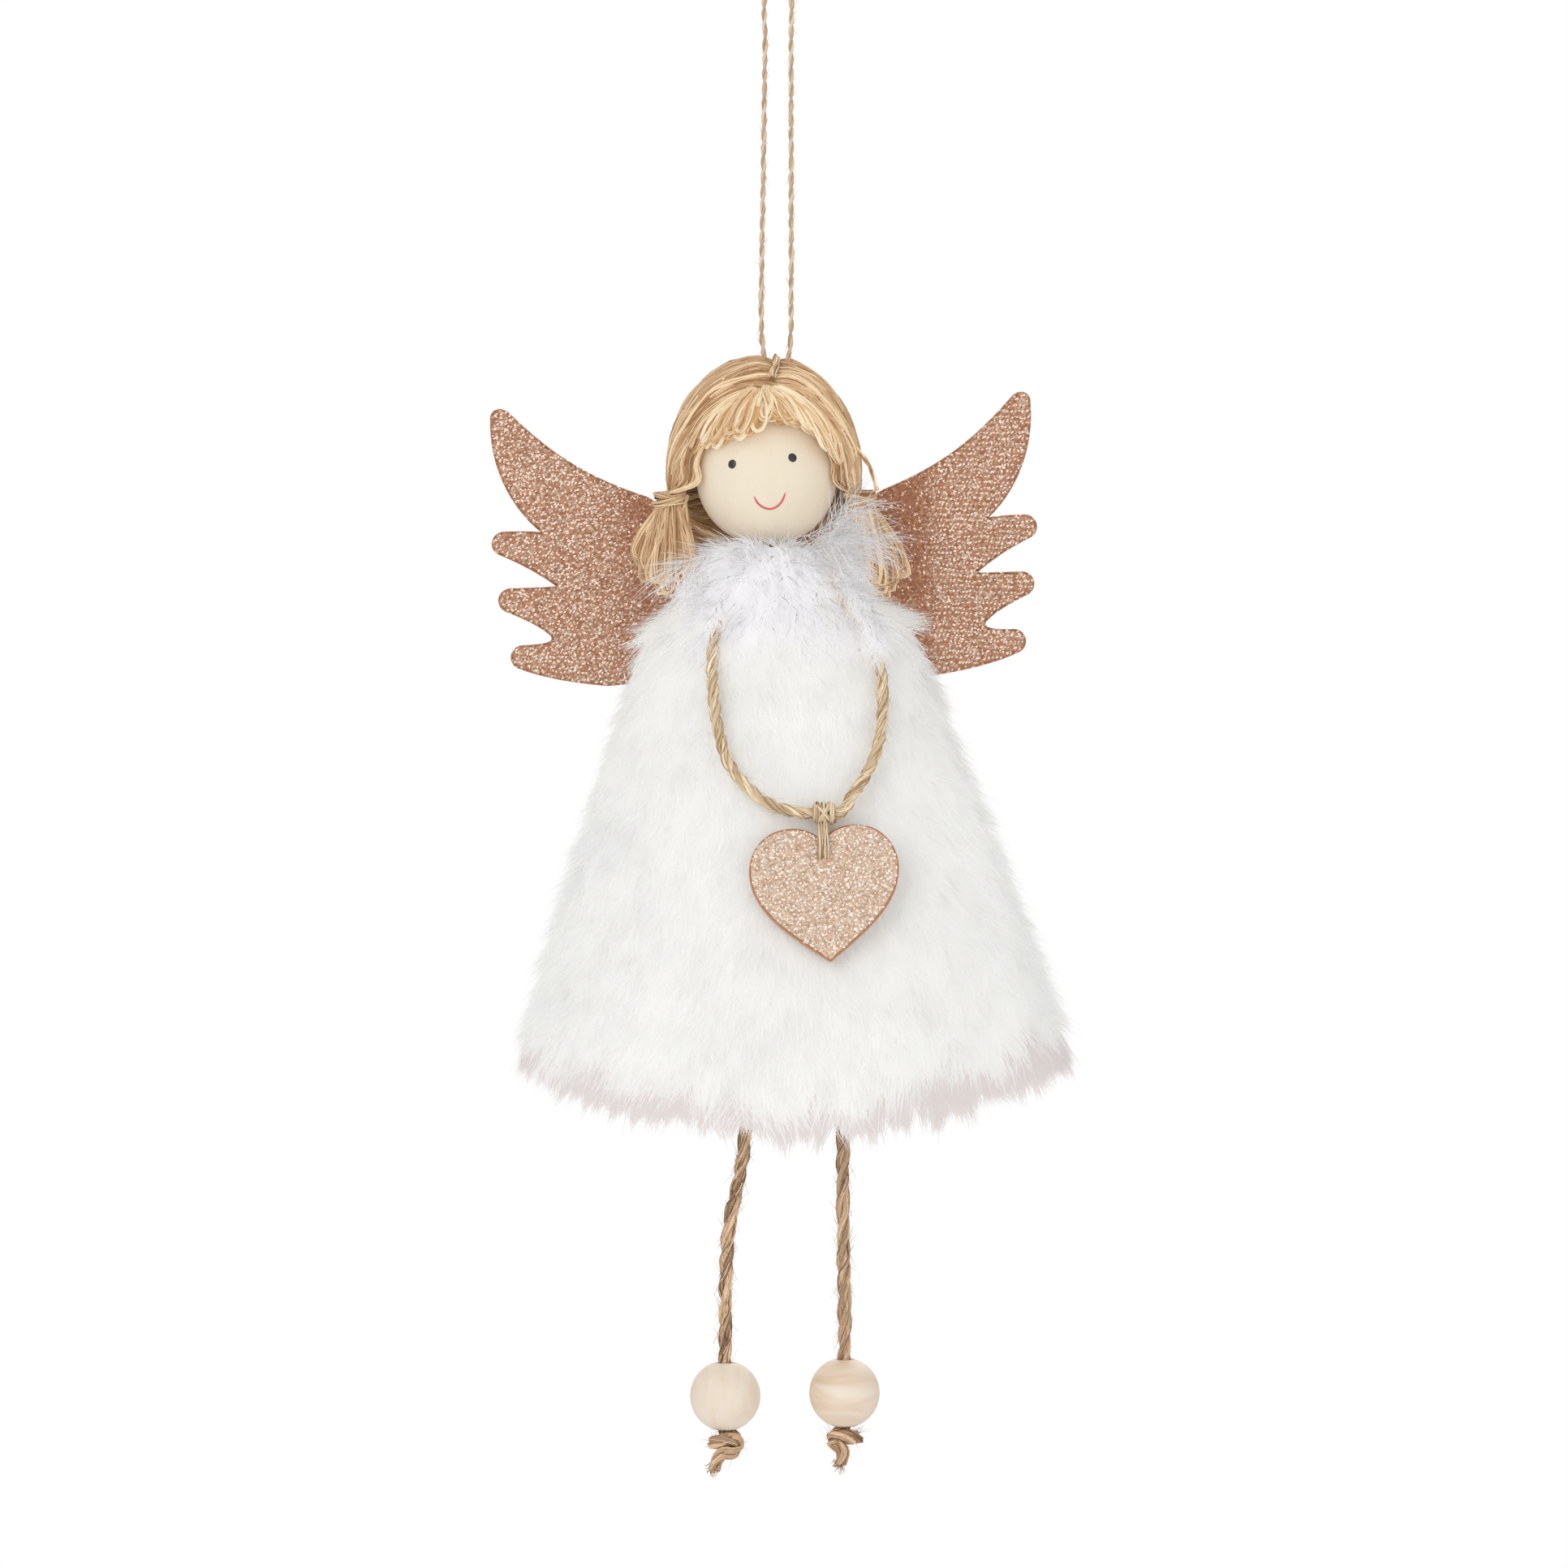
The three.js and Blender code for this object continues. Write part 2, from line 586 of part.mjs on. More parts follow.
// Pigtails: narrow at the tie, swelling to the folded ends
const PIGTAIL_FORM = [
  [0, 1.1],
  [0.08, 1],
  [0.24, 1.45],
  [0.5, 2.3],
  [0.74, 2.84],
  [0.9, 2.6],
  [1, 1.6],
];
const fullest = 2.84;
const neckShare = 0.08;
const capEdge = -NAPE_DROP - GAP;
for (const { side, sign, spread, forward } of PIGTAILS) {
  const x = HAIR_SHIFT.x + sign * PIGTAIL_OUT;
  const neckR = PIGTAIL_NECK_D / 2;
  const top = capEdge - neckR * Math.tan(rad(NAPE_SLOPE));
  const swell = (half, factor) => neckR + ((half - neckR) * (factor - 1)) / (fullest - 1);
  const sections = PIGTAIL_FORM.map(([share, factor]) => ({
    x: x + sign * spread * share,
    y: -forward * share,
    z: top - PIGTAIL_LENGTH * share,
    halfW: swell(PIGTAIL_HALF_W, factor),
    halfD: swell(PIGTAIL_HALF_D, factor),
  }));
  head.add(piece(`${side}_pigtail`, loft(sections, 16), 'hair'));
  const tieR = neckR + GAP + PIGTAIL_TIE_D / 2;
  const tieAt = at(x + sign * spread * neckShare, -forward * neckShare, top - PIGTAIL_LENGTH * neckShare);
  head.add(piece(`${side}_pigtail_tie`, ring(tieR, PIGTAIL_TIE_D, tieAt), 'hair'));
}

// Necklace: the rope's front loop lies on the fur, from one end of the neck rope to the other
const necklaceStand = KNOT_D / 2 + FUR_TIPS;
const onFur = (x, z) => at(x, frontOfDress(x, z) - necklaceStand, z);
const neckRopeEnds = [neckRope[0], neckRope[NECK_ROPE_POINTS]].map((end) => torso.localToWorld(end.clone()));
const [leftStart, rightStart] = neckRopeEnds.map((end) => onFur(end.x, end.z - NECKLACE_END_GAP));
const knotZ = neckZ - NECKLACE_HANG;
const knotAt = onFur(KNOT_X, knotZ);
const straightRun = KNOT_LENGTH / 2 + RUN; // of the rope inside the knot
const inLoop = ([across, fall]) => onFur(NECKLACE_X + across * NECKLACE_HALF_W, neckZ - fall * NECKLACE_HANG);
const necklaceRoute = [
  leftStart,
  ...NECKLACE_LEFT_FALL.map(inLoop),
  at(KNOT_X - straightRun, knotAt.y, knotZ),
  knotAt,
  at(KNOT_X + straightRun, knotAt.y, knotZ),
  ...NECKLACE_RIGHT_RISE.map(inLoop),
  rightStart,
];
angel.add(piece('necklace_cord', cord(necklaceRoute, NECKLACE_D, 40), 'rope'));

// The wrapped knot turns on the rope, and the heart hangs from it by a thin tie.
const knotProfile = [];
const knotBore = NECKLACE_D / 2 + RUN;
const KNOT_STEPS = 4 * KNOT_WRAPS;
for (let i = 0; i <= KNOT_STEPS; i++) {
  const share = i / KNOT_STEPS;
  const bulge = Math.abs(Math.sin(Math.PI * KNOT_WRAPS * share));
  const outer = KNOT_D / 2 - WRAP_DEPTH + WRAP_DEPTH * bulge;
  knotProfile.push(new THREE.Vector2(outer, KNOT_LENGTH * (share - 0.5)));
}
knotProfile.push(new THREE.Vector2(knotBore, KNOT_LENGTH / 2));
knotProfile.push(new THREE.Vector2(knotBore, -KNOT_LENGTH / 2));
knotProfile.push(knotProfile[0].clone());
const wrapped = new THREE.LatheGeometry(knotProfile, 12).rotateZ(Math.PI / 2);
angel.add(piece('necklace_knot', solid(wrapped.translate(knotAt.x, knotAt.y, knotAt.z)), 'rope'));

const heart = new THREE.Group();
const heartTop = knotAt.z - KNOT_D / 2 - GAP;
heart.position.set(KNOT_X + HEART_SHIFT, knotAt.y, heartTop);
const slopeSpan = HEART_H * 0.9;
const furLean = frontOfDress(KNOT_X, heartTop) - frontOfDress(KNOT_X, heartTop - slopeSpan);
heart.rotation.x = -Math.atan2(furLean, slopeSpan);
angel.add(heart);

function heartSheet() {
  const [w, h] = [HEART_W / 2, HEART_H];
  const half = new THREE.Path();
  half.moveTo(0, 0);
  half.bezierCurveTo(0.16 * w, 0.11 * h, 0.4 * w, 0.115 * h, 0.57 * w, 0.095 * h);
  half.bezierCurveTo(0.86 * w, 0.06 * h, 1.02 * w, -0.1 * h, 1.0 * w, -0.24 * h);
  half.bezierCurveTo(0.97 * w, -0.5 * h, 0.55 * w, -0.68 * h, 0, -0.9 * h);
  const right = half.getPoints(9);
  const left = right.slice(1, -1).map((p) => new THREE.Vector2(-p.x, p.y));
  const sheet = new THREE.Shape([...right, ...left.reverse()]);
  const geometry = new THREE.ExtrudeGeometry(sheet, { depth: HEART_T, bevelEnabled: false });
  geometry.translate(0, HEART_HOLE_DROP, -HEART_T / 2).rotateX(Math.PI / 2).rotateY(rad(-HEART_ROLL));
  const hole = new THREE.CylinderGeometry(HEART_HOLE_D / 2, HEART_HOLE_D / 2, 2 * HEART_T, 14);
  return solid(geometry).subtract(solid(hole)).translate([0, 0, -HEART_HOLE_DROP - HEART_CLEFT_DROP]);
}
heart.add(piece('heart', heartSheet(), 'heartGlitter'));

// The tie runs from the knot down the front, back through the hole and up again behind.
const tieFront = HEART_T / 2 + GAP + HEART_TIE_D / 2;
const holeZ = -HEART_CLEFT_DROP - HEART_HOLE_DROP;
const tieRoute = [
  at(0, -HEART_TIE_D / 2 - 0.2, -GAP),
  at(0, -tieFront, -HEART_CLEFT_DROP / 2),
  at(0, -tieFront, holeZ + 0.9),
  at(0, -tieFront * 0.75, holeZ),
  at(0, 0, holeZ - 0.25),
  at(0, tieFront * 0.75, holeZ),
  at(0, tieFront, holeZ + 0.9),
  at(0, tieFront, -HEART_CLEFT_DROP / 2),
  at(0, HEART_TIE_D / 2 + 0.2, -GAP),
];
heart.add(piece('heart_tie', cord(tieRoute, HEART_TIE_D, 18), 'rope'));

// Legs, hanging straight down from the anchors: a short root, the rope, its knot and its bead
const LEG_ROUTES = {
  left: [[0, 0], [-0.35, -4], [-1.8, -11.4], [-2.9, -17.4], [-3.4, -24], [-3.5, -30]],
  right: [[0, 0], [-0.05, -4], [-0.1, -12], [0, -19], [0.15, -25], [0.2, -30]],
};
const FOOT_TAILS = {
  left: [[-0.4, -0.2, -1.4], [-1.5, -0.7, -4.2], [-2.2, -1.0, -6.6]],
  right: [[-0.3, -0.2, -1.4], [-0.9, -0.8, -3.6], [-1.4, -1.1, -5.8]],
};
const legR = LEG_D / 2;
const footHalfH = Math.sqrt((FOOT_D / 2) ** 2 - (FOOT_BORE_D / 2) ** 2);
for (const [side, x] of Object.entries(legXs)) {
  const anchorEnd = torso.localToWorld(at(x, 0, heightInHem(PANEL_RECESS, x) - ANCHOR_PROUD));
  const swayZ = anchorEnd.z - GAP - legR;
  const rootProfile = [new THREE.Vector2(0, legR)];
  for (const angle of [30, 60, 90]) {
    rootProfile.push(new THREE.Vector2(legR * Math.sin(rad(angle)), legR * Math.cos(rad(angle))));
  }
  rootProfile.push(new THREE.Vector2(legR, -LEG_ROOT_L), new THREE.Vector2(0, -LEG_ROOT_L));
  const root = new THREE.LatheGeometry(rootProfile, CORD_SIDES).rotateX(Math.PI / 2);
  angel.add(piece(`${side}_leg_root`, solid(root.translate(anchorEnd.x, 0, swayZ)), 'legRope'));

  const leg = new THREE.Group();
  const swingZ = swayZ - LEG_ROOT_L - GAP - legR;
  leg.position.set(anchorEnd.x, 0, swingZ);
  angel.add(leg);
  const route = LEG_ROUTES[side].map(([dx, dz]) => at(dx, 0, dz));
  const ankle = route[route.length - 1];
  route.push(at(ankle.x, 0, (ankle.z - LEG_LENGTH) / 2), at(ankle.x, 0, -LEG_LENGTH));
  const hip = ellipsoid(legR, legR, legR, at(0, 0, 0), CORD_SIDES, 6);
  leg.add(piece(`${side}_leg_cord`, cord(route, LEG_D, 22).add(hip), 'legRope'));

  const foot = piece(`${side}_foot_bead`, bead(FOOT_D, FOOT_BORE_D, 22, 10), 'footWood');
  foot.position.set(ankle.x, 0, -LEG_LENGTH + footHalfH);
  leg.add(foot);

  const wrapD = FOOT_KNOT_H * 0.52;
  const wrapR = (FOOT_KNOT_W - wrapD) / 2;
  const tail = FOOT_TAILS[side].map(([dx, dy, dz]) => at(dx, dy, dz));
  const knot = ring(wrapR, wrapD, at(0, 0, -wrapD * 0.62), 0, 9)
    .add(ring(wrapR * 0.86, wrapD, at(-0.2, 0, -FOOT_KNOT_H + wrapD * 0.62), 12, -14))
    .add(ellipsoid(wrapR, wrapR, FOOT_KNOT_H * 0.4, at(0, 0, -FOOT_KNOT_H / 2), 12, 8))
    .add(cord(tail, FOOT_TAIL_D, 8));
  const knotTop = knot.boundingBox().max[2];
  const footKnot = piece(`${side}_foot_knot`, knot, 'legRope');
  footKnot.position.set(ankle.x, 0, -LEG_LENGTH - GAP - knotTop);
  leg.add(footKnot);
}

export default angel;
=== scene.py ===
"""Looks of a hanging plush angel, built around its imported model.

The frame is in metres, +Z up, front towards -Y. Lengths below are in millimetres until a mesh is made.
"""

import json
import math

import bpy
import numpy as np
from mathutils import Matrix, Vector, geometry

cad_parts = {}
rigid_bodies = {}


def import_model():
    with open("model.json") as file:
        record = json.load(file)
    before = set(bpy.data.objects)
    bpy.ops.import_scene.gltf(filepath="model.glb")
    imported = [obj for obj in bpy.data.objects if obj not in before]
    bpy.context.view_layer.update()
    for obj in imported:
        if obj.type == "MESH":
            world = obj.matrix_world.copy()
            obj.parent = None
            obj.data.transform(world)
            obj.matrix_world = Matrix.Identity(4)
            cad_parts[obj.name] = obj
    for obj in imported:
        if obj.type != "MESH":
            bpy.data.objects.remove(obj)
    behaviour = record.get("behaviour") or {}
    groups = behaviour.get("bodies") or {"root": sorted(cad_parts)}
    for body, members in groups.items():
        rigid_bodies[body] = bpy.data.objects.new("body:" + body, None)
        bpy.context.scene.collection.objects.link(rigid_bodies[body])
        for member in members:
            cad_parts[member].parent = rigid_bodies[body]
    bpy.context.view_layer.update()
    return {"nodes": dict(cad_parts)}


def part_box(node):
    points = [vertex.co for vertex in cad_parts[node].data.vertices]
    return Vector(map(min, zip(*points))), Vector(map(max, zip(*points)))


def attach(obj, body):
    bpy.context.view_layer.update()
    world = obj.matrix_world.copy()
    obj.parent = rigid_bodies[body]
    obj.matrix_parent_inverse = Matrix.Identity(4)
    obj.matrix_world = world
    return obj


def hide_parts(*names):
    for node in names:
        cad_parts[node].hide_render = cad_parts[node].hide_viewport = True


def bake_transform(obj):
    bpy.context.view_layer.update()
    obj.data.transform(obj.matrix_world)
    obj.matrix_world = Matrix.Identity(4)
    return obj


for leftover in list(bpy.data.objects):
    bpy.data.objects.remove(leftover)

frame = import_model()

MM = 0.001
BAKE_MAP = "OFBake"
TONE_ROWS = 32  # shades that single fibres are sorted into

# Sizes shared with the solids
HEAD = np.array([-1.9, 0.0, -86.55])
HEAD_D = 24.9
HEAD_BORE_D = 3.4
HAIR_CENTRE = HEAD + np.array([-0.55, 1.5, -1.5])
HAIR_HALF = np.array([17.25, 13.95, 22.05])
PARTING_X = -0.2
TIE_OUT = 16.4
NECK_Z = -99.104
DRESS_X = -0.3
LEAN = math.radians(1.9)
DRESS_LENGTH = 102.4
NECK_R = 6.0
SHOULDER_DROP = 15.0
SHOULDER_HALF_W = 23.4
SHOULDER_HALF_D = 14.0
SHOULDER_CURVE = 1.3
HEM_HALF_W = 53.2
HEM_HALF_D = 31.0
BELLY = 1.8
HEM_RISE = 12.5
LOOP_D = 1.0
NECKLACE_D = 2.05
NECKLACE_STAND = 3.4
KNOT_X = 8.1
KNOT_Z = -145.8
KNOT_R = 2.2
LEG_D = 2.4
FOOT_D = 12.4
FOOT_BORE_D = 3.2
WING_HALF_SPAN = 47.9
WING_HEIGHT = 50.0
WING_T = 1.8
WING_SHIFT = np.array([-1.1, 0.0, -3.8])
HEART_HALF_W = 12.9
HEART_H = 23.4
HEART_T = 2.0
HEART_ROLL = math.radians(4)
HEART_HOLE_DROP = 3.3
HEART_CLEFT_DROP = 2.4
HEART_SHIFT = -0.2

# Sizes of the looks alone
INNER_HAIR = 0.9  # of the hank's outside, where its inside lies
UNDER_HAIR = 0.93
PILE_INSET = 3.4  # the pile's roots, inside the dress's outline
CLOTH_INSET = 3.6
HEM_TILT = 0.03  # the pile hangs lower towards the viewer's right
LEFT_WING_STRETCH = 1.037  # the left wing is cut a little longer
COLLAR_HEART = np.array([HEAD[0], -1.5, -101.5])
COLLAR_Y = -1.0
COLLAR_HALF_W = 6.4
COLLAR_HALF_D = 7.6

AMBIENT = 0.76
LAMPS = [
    ("key", (-0.55, -1.2, 0.45), 0.8, 4.9),
    ("fill", (0.6, -1.2, -0.3), 0.9, 2.2),
    ("back", (0.2, 1.0, 0.6), 0.8, 4.8),
]


# Camera, first of all, because the cords are measured against its view


def place_camera():
    """Looks at the ornament straight from the front, with the photograph's framing."""
    target = Vector((1.14, 0.0, -140.9)) * MM
    distance = 1.2
    rise = math.radians(0.3)
    view_width = 0.276
    data = bpy.data.cameras.new("camera")
    data.sensor_width = 36.0
    data.lens = data.sensor_width * distance / view_width
    data.clip_start = 0.05
    camera = bpy.data.objects.new("camera", data)
    camera.location = target + Vector((0.0, -math.cos(rise), math.sin(rise))) * distance
    camera.rotation_euler = (target - camera.location).to_track_quat("-Z", "Y").to_euler()
    bpy.context.scene.collection.objects.link(camera)
    bpy.context.scene.camera = camera


# Meshes out of arrays


def mesh_piece(name, part, material, smooth=True, normals=None):
    """An object of points (mm), equal-sided faces and, where given, a UV map and normals of its own."""
    points, faces, uv = part
    mesh = bpy.data.meshes.new(name)
    faces = np.asarray(faces, dtype=np.int32)
    mesh.vertices.add(len(points))
    mesh.vertices.foreach_set("co", (np.asarray(points) * MM).astype(np.float32).ravel())
    mesh.loops.add(faces.size)
    mesh.loops.foreach_set("vertex_index", faces.ravel())
    mesh.polygons.add(len(faces))
    mesh.polygons.foreach_set("loop_start", np.arange(0, faces.size, faces.shape[1], dtype=np.int32))
    mesh.polygons.foreach_set("use_smooth", np.ascontiguousarray(np.broadcast_to(smooth, len(faces))))
    mesh.update(calc_edges=True)
    if uv is not None:
        layer = mesh.uv_layers.new(name=BAKE_MAP)
        layer.data.foreach_set("uv", np.asarray(uv)[faces.ravel()].astype(np.float32).ravel())
    if normals is not None:
        mesh.normals_split_custom_set_from_vertices(np.asarray(normals, dtype=np.float32))
    mesh.materials.append(material)
    piece = bpy.data.objects.new(name, mesh)
    bpy.context.scene.collection.objects.link(piece)
    return piece


def dress_piece(piece, body, slot, *stands_for):
    """A piece rides on a body and stands for the CAD nodes that are named; its slot is not used."""
    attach(piece, body)
    if stands_for:
        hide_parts(*stands_for)
    return piece


def add_piece(name, part, material, body, slot, *stands_for, **looks):
    """A mesh piece that is dressed at once."""
    return dress_piece(mesh_piece(name, part, material, **looks), body, slot, *stands_for)


def airy(piece):
    """Loose pale fibre lets the light through to its neighbours, so it throws no shadow on them."""
    piece.visible_shadow = False
    return piece


def joined(*parts):
    """Several parts with the same number of corners to a face, as one part."""
    points, faces, uvs = [], [], []
    start = 0
    for part_points, part_faces, part_uv in parts:
        points.append(part_points)
        faces.append(part_faces + start)
        uvs.append(part_uv)
        start += len(part_points)
    uv = None if uvs[0] is None else np.vstack(uvs)
    return np.vstack(points), np.vstack(faces), uv


def grid_faces(rows, columns, closed_rows=False, closed_columns=True):
    """Quads over a grid of points: from each point to the next row, along it, and back."""
    index = np.arange(rows * columns).reshape(rows, columns)
    below = np.roll(index, -1, axis=0)
    faces = np.stack([index, below, np.roll(below, -1, axis=1), np.roll(index, -1, axis=1)], axis=-1)
    last_row = rows if closed_rows else rows - 1
    last_column = columns if closed_columns else columns - 1
    return faces[:last_row, :last_column].reshape(-1, 4)


def flipped(quads):
    """The same quads, facing the other way."""
    return quads[:, [0, 3, 2, 1]]


def skin(points, **closed):
    """A part with quads over a grid of points (rows, columns, 3)."""
    return points.reshape(-1, 3), grid_faces(*points.shape[:2], **closed), None


def unit(vectors):
    return vectors / np.maximum(np.linalg.norm(vectors, axis=-1, keepdims=True), 1e-9)


def turns(count):
    """Even angles once round."""
    return 2 * np.pi * np.arange(count) / count


def round_about(angle, first, second):
    """Directions at an angle in the plane of two others."""
    return np.cos(angle)[..., None] * first + np.sin(angle)[..., None] * second


def quadratic(start, bend, end, t):
    """Points of a curve that leaves towards a bend and comes in from it."""
    return (1 - t) ** 2 * start + 2 * t * (1 - t) * bend + t**2 * end


def tubes(paths, radii, sides, outward, rng, rows=None):
    """Tubes, or with two sides flat ribbons, along paths (n, k, 3); outward tells which way they face.

    The UV map runs along each fibre, in the row of its shade.
    """
    paths = np.asarray(paths, dtype=float)
    count, steps, _ = paths.shape
    radii = np.broadcast_to(np.asarray(radii, dtype=float), (count, steps))
    along = unit(np.gradient(paths, axis=1))
    side = unit(np.cross(along, np.broadcast_to(outward, paths.shape)))
    over = np.cross(along, side)
    ring = round_about(turns(sides), side[:, :, None, :], over[:, :, None, :])
    points = paths[:, :, None, :] + radii[:, :, None, None] * ring
    index = np.arange(count * steps * sides).reshape(count, steps, sides)
    following = np.roll(index, -1, axis=2)
    faces = np.stack([index[:, :-1], following[:, :-1], following[:, 1:], index[:, 1:]], axis=-1)
    if sides == 2:
        faces = faces[:, :, :1, ::-1]
    row = rng.integers(0, TONE_ROWS, count) if rows is None else rows
    across = 0.15 + 0.7 * np.arange(sides) / (sides - 1)
    u = np.broadcast_to(np.linspace(0.01, 0.99, steps)[None, :, None], index.shape)
    v = np.broadcast_to((row[:, None, None] + across[None, None, :]) / TONE_ROWS, index.shape)
    return points.reshape(-1, 3), faces.reshape(-1, 4), np.stack([u, v], axis=-1).reshape(-1, 2)


# Paths


def run_along(path):
    """How far along a path each of its points lies."""
    return np.concatenate([[0], np.cumsum(np.linalg.norm(np.diff(path, axis=0), axis=1))])


def resample(path, steps):
    run = run_along(path)
    marks = np.linspace(0, run[-1], steps)
    return np.stack([np.interp(marks, run, path[:, axis]) for axis in range(3)], axis=-1)


def spline(points, step):
    """Centripetal curve through points, in even steps of about the given length."""
    points = np.asarray(points, dtype=float)
    guide = np.vstack([2 * points[0] - points[1], points, 2 * points[-1] - points[-2]])
    fine = []
    for p0, p1, p2, p3 in zip(guide, guide[1:], guide[2:], guide[3:]):
        t1 = np.linalg.norm(p1 - p0) ** 0.5
        t2 = t1 + np.linalg.norm(p2 - p1) ** 0.5
        t3 = t2 + np.linalg.norm(p3 - p2) ** 0.5
        t = np.linspace(t1, t2, 20, endpoint=False)[:, None]
        a1 = (t1 - t) / t1 * p0 + t / t1 * p1
        a2 = (t2 - t) / (t2 - t1) * p1 + (t - t1) / (t2 - t1) * p2
        a3 = (t3 - t) / (t3 - t2) * p2 + (t - t2) / (t3 - t2) * p3
        b1 = (t2 - t) / t2 * a1 + t / t2 * a2
        b2 = (t3 - t) / (t3 - t1) * a2 + (t - t1) / (t3 - t1) * a3
        fine.append((t2 - t) / (t2 - t1) * b1 + (t - t1) / (t2 - t1) * b2)
    fine = np.vstack([*fine, points[-1:]])
    return resample(fine, max(4, int(round(run_along(fine)[-1] / step)) + 1))


def carried_normals(path):
    """Normals that follow a path without twisting round it."""
    along = unit(np.gradient(path, axis=0))
    start = np.cross(along[0], [0.3, 1.0, 0.2])
    normals = [start / np.linalg.norm(start)]
    for direction in along[1:]:
        turned = normals[-1] - direction * np.dot(normals[-1], direction)
        normals.append(turned / np.linalg.norm(turned))
    normals = np.array(normals)
    return normals, np.cross(along, normals)


# Jute: loose bundles and laid ropes


def bundle(path, count, spread, rng, wander=0.35):
    """Fibres that run loosely side by side along a path, with the normals that they share."""
    normals, across = carried_normals(path)
    run = np.linspace(0, 1, len(path))[None, :]
    first = rng.uniform(0, 2 * np.pi, (count, 1))
    rounds = rng.uniform(0.5, 1.6, (count, 1))
    phase = rng.uniform(0, 1, (count, 1))
    angle = first + wander * 3 * np.sin(2 * np.pi * (run * rounds + phase))
    reach = spread * np.sqrt(rng.uniform(0.02, 1, (count, 1)))
    reach = reach * (1 + wander * np.sin(2 * np.pi * (run + rng.uniform(0, 1, (count, 1)))))
    fibres = path[None] + reach[..., None] * round_about(angle, normals, across)
    return fibres, np.broadcast_to(normals, fibres.shape)


def thin_ends(steps, tip, slope):
    """Shares of a full radius along a fibre that thins towards both ends."""
    return np.minimum(1, tip + slope * np.minimum(np.linspace(0, 1, steps), np.linspace(1, 0, steps)))


def tapered(radius, count, steps, rng, tip):
    """Fibre radii with natural variation and thin ends."""
    return radius * rng.uniform(0.65, 1.35, (count, 1)) * thin_ends(steps, tip, 4)[None, :]


def fibre_part(fibres, normals, radius, tip, rng, rows=None):
    radii = tapered(radius, len(fibres), fibres.shape[1], rng, tip)
    return tubes(fibres, radii, 4, normals, rng, rows)


def locks_part(paths, fibres, spread, radius, rng):
    """Locks along paths; most fibres of a lock have one shade."""
    every, facing, rows = [], [], []
    for path in paths:
        strands, normals = bundle(path, fibres, spread, rng)
        every.append(strands)
        facing.append(normals)
        own = rng.integers(0, TONE_ROWS, fibres)
        rows.append(np.where(rng.uniform(0, 1, fibres) < 0.4, own, own[0]))
    return fibre_part(np.concatenate(every), np.concatenate(facing), radius, 0.8, rng, np.concatenate(rows))


def stray_hairs(path, reach, count, length, rng):
    """Fine hairs that stand off a rope."""
    steps = 5
    normals, across = carried_normals(path)
    along = unit(np.gradient(path, axis=0))
    clear = min(10, len(path) // 4)
    at = rng.integers(clear, len(path) - clear, count)
    out = round_about(rng.uniform(0, 2 * np.pi, count), normals[at], across[at])
    lean = rng.choice([-1.0, 1.0], count)[:, None] * rng.uniform(0.5, 1.4, (count, 1))
    reach_out = rng.uniform(0.25, 1.0, (count, 1))
    size = length * rng.uniform(0.4, 1.0, (count, 1))
    t = np.linspace(0, 1, steps)[None, :, None]
    start = (path[at] + out * reach * 0.8)[:, None]
    forward = t * lean[:, None] * along[at][:, None]
    away = (t**1.6 - 0.3 * t**3) * (reach_out[:, None] * out[:, None])
    hairs = start + size[:, None] * (forward + away)
    radii = np.broadcast_to(0.045 * np.linspace(1, 0.35, steps), (count, steps))
    return tubes(hairs, radii, 3, across[at][:, None], rng)


def laid_rope(path, diameter, plies, pitch, fibres, rng, fuzz=0.0):
    """A rope of twisted plies: each ply is a core wrapped in fibres that slant along it."""
    normals, across = carried_normals(path)
    run = run_along(path)
    ply_r = 0.25 * diameter if plies > 2 else 0.28 * diameter
    lay_r = diameter / 2 - ply_r
    cores, threads = [], []
    for ply in range(plies):
        swell = 1 + 0.05 * np.sin(run * rng.uniform(0.5, 0.9) + rng.uniform(0, 6))
        phase = 2 * np.pi * (ply / plies + run / pitch) + 0.25 * np.sin(run * 0.43 + ply)
        out = round_about(phase, normals, across)
        turned = -np.sin(phase)[:, None] * normals + np.cos(phase)[:, None] * across
        centre = path + lay_r * swell[:, None] * out
        cores.append(centre)
        for _ in range(fibres):
            angle = rng.uniform(0, 2 * np.pi) - 2 * np.pi * run / (pitch * rng.uniform(1.3, 2.2))
            angle = angle + 0.35 * np.sin(run * rng.uniform(0.6, 1.6) + rng.uniform(0, 6))
            depth = ply_r * rng.uniform(0.74, 1.0)
            threads.append(centre + depth * round_about(angle, out, turned))
    shared = normals[None]
    count = len(threads)
    radii = ply_r * rng.uniform(0.15, 0.3, (count, 1))
    parts = [
        tubes(np.array(cores), np.full((plies, 1), 0.84 * ply_r), 10, shared, rng),
        tubes(np.array(threads), np.broadcast_to(radii, (count, len(path))), 4, shared, rng),
    ]
    if fuzz > 0:
        hairs = int(run[-1] * fuzz)
        parts.append(stray_hairs(path, diameter / 2, hairs, 0.9 * diameter + 0.7, rng))
    return joined(*parts)


# Shader groups: effects that several finishes share


def feed(tree, value, socket):
    """Links a socket to another, or sets a constant on it."""
    if isinstance(value, bpy.types.NodeSocket):
        tree.links.new(value, socket)
    else:
        socket.default_value = value


def node(tree, kind, inputs=None, **settings):
    """A new node; inputs tells what its sockets get, by name or number."""
    made = tree.nodes.new(kind)
    for key, value in settings.items():
        setattr(made, key, value)
    for socket, value in (inputs or {}).items():
        feed(tree, value, made.inputs[socket])
    return made


def maths(tree, operation, first, second=0.0, third=0.0, clamp=False):
    inputs = {0: first, 1: second, 2: third}
    return node(tree, "ShaderNodeMath", inputs, operation=operation, use_clamp=clamp).outputs[0]


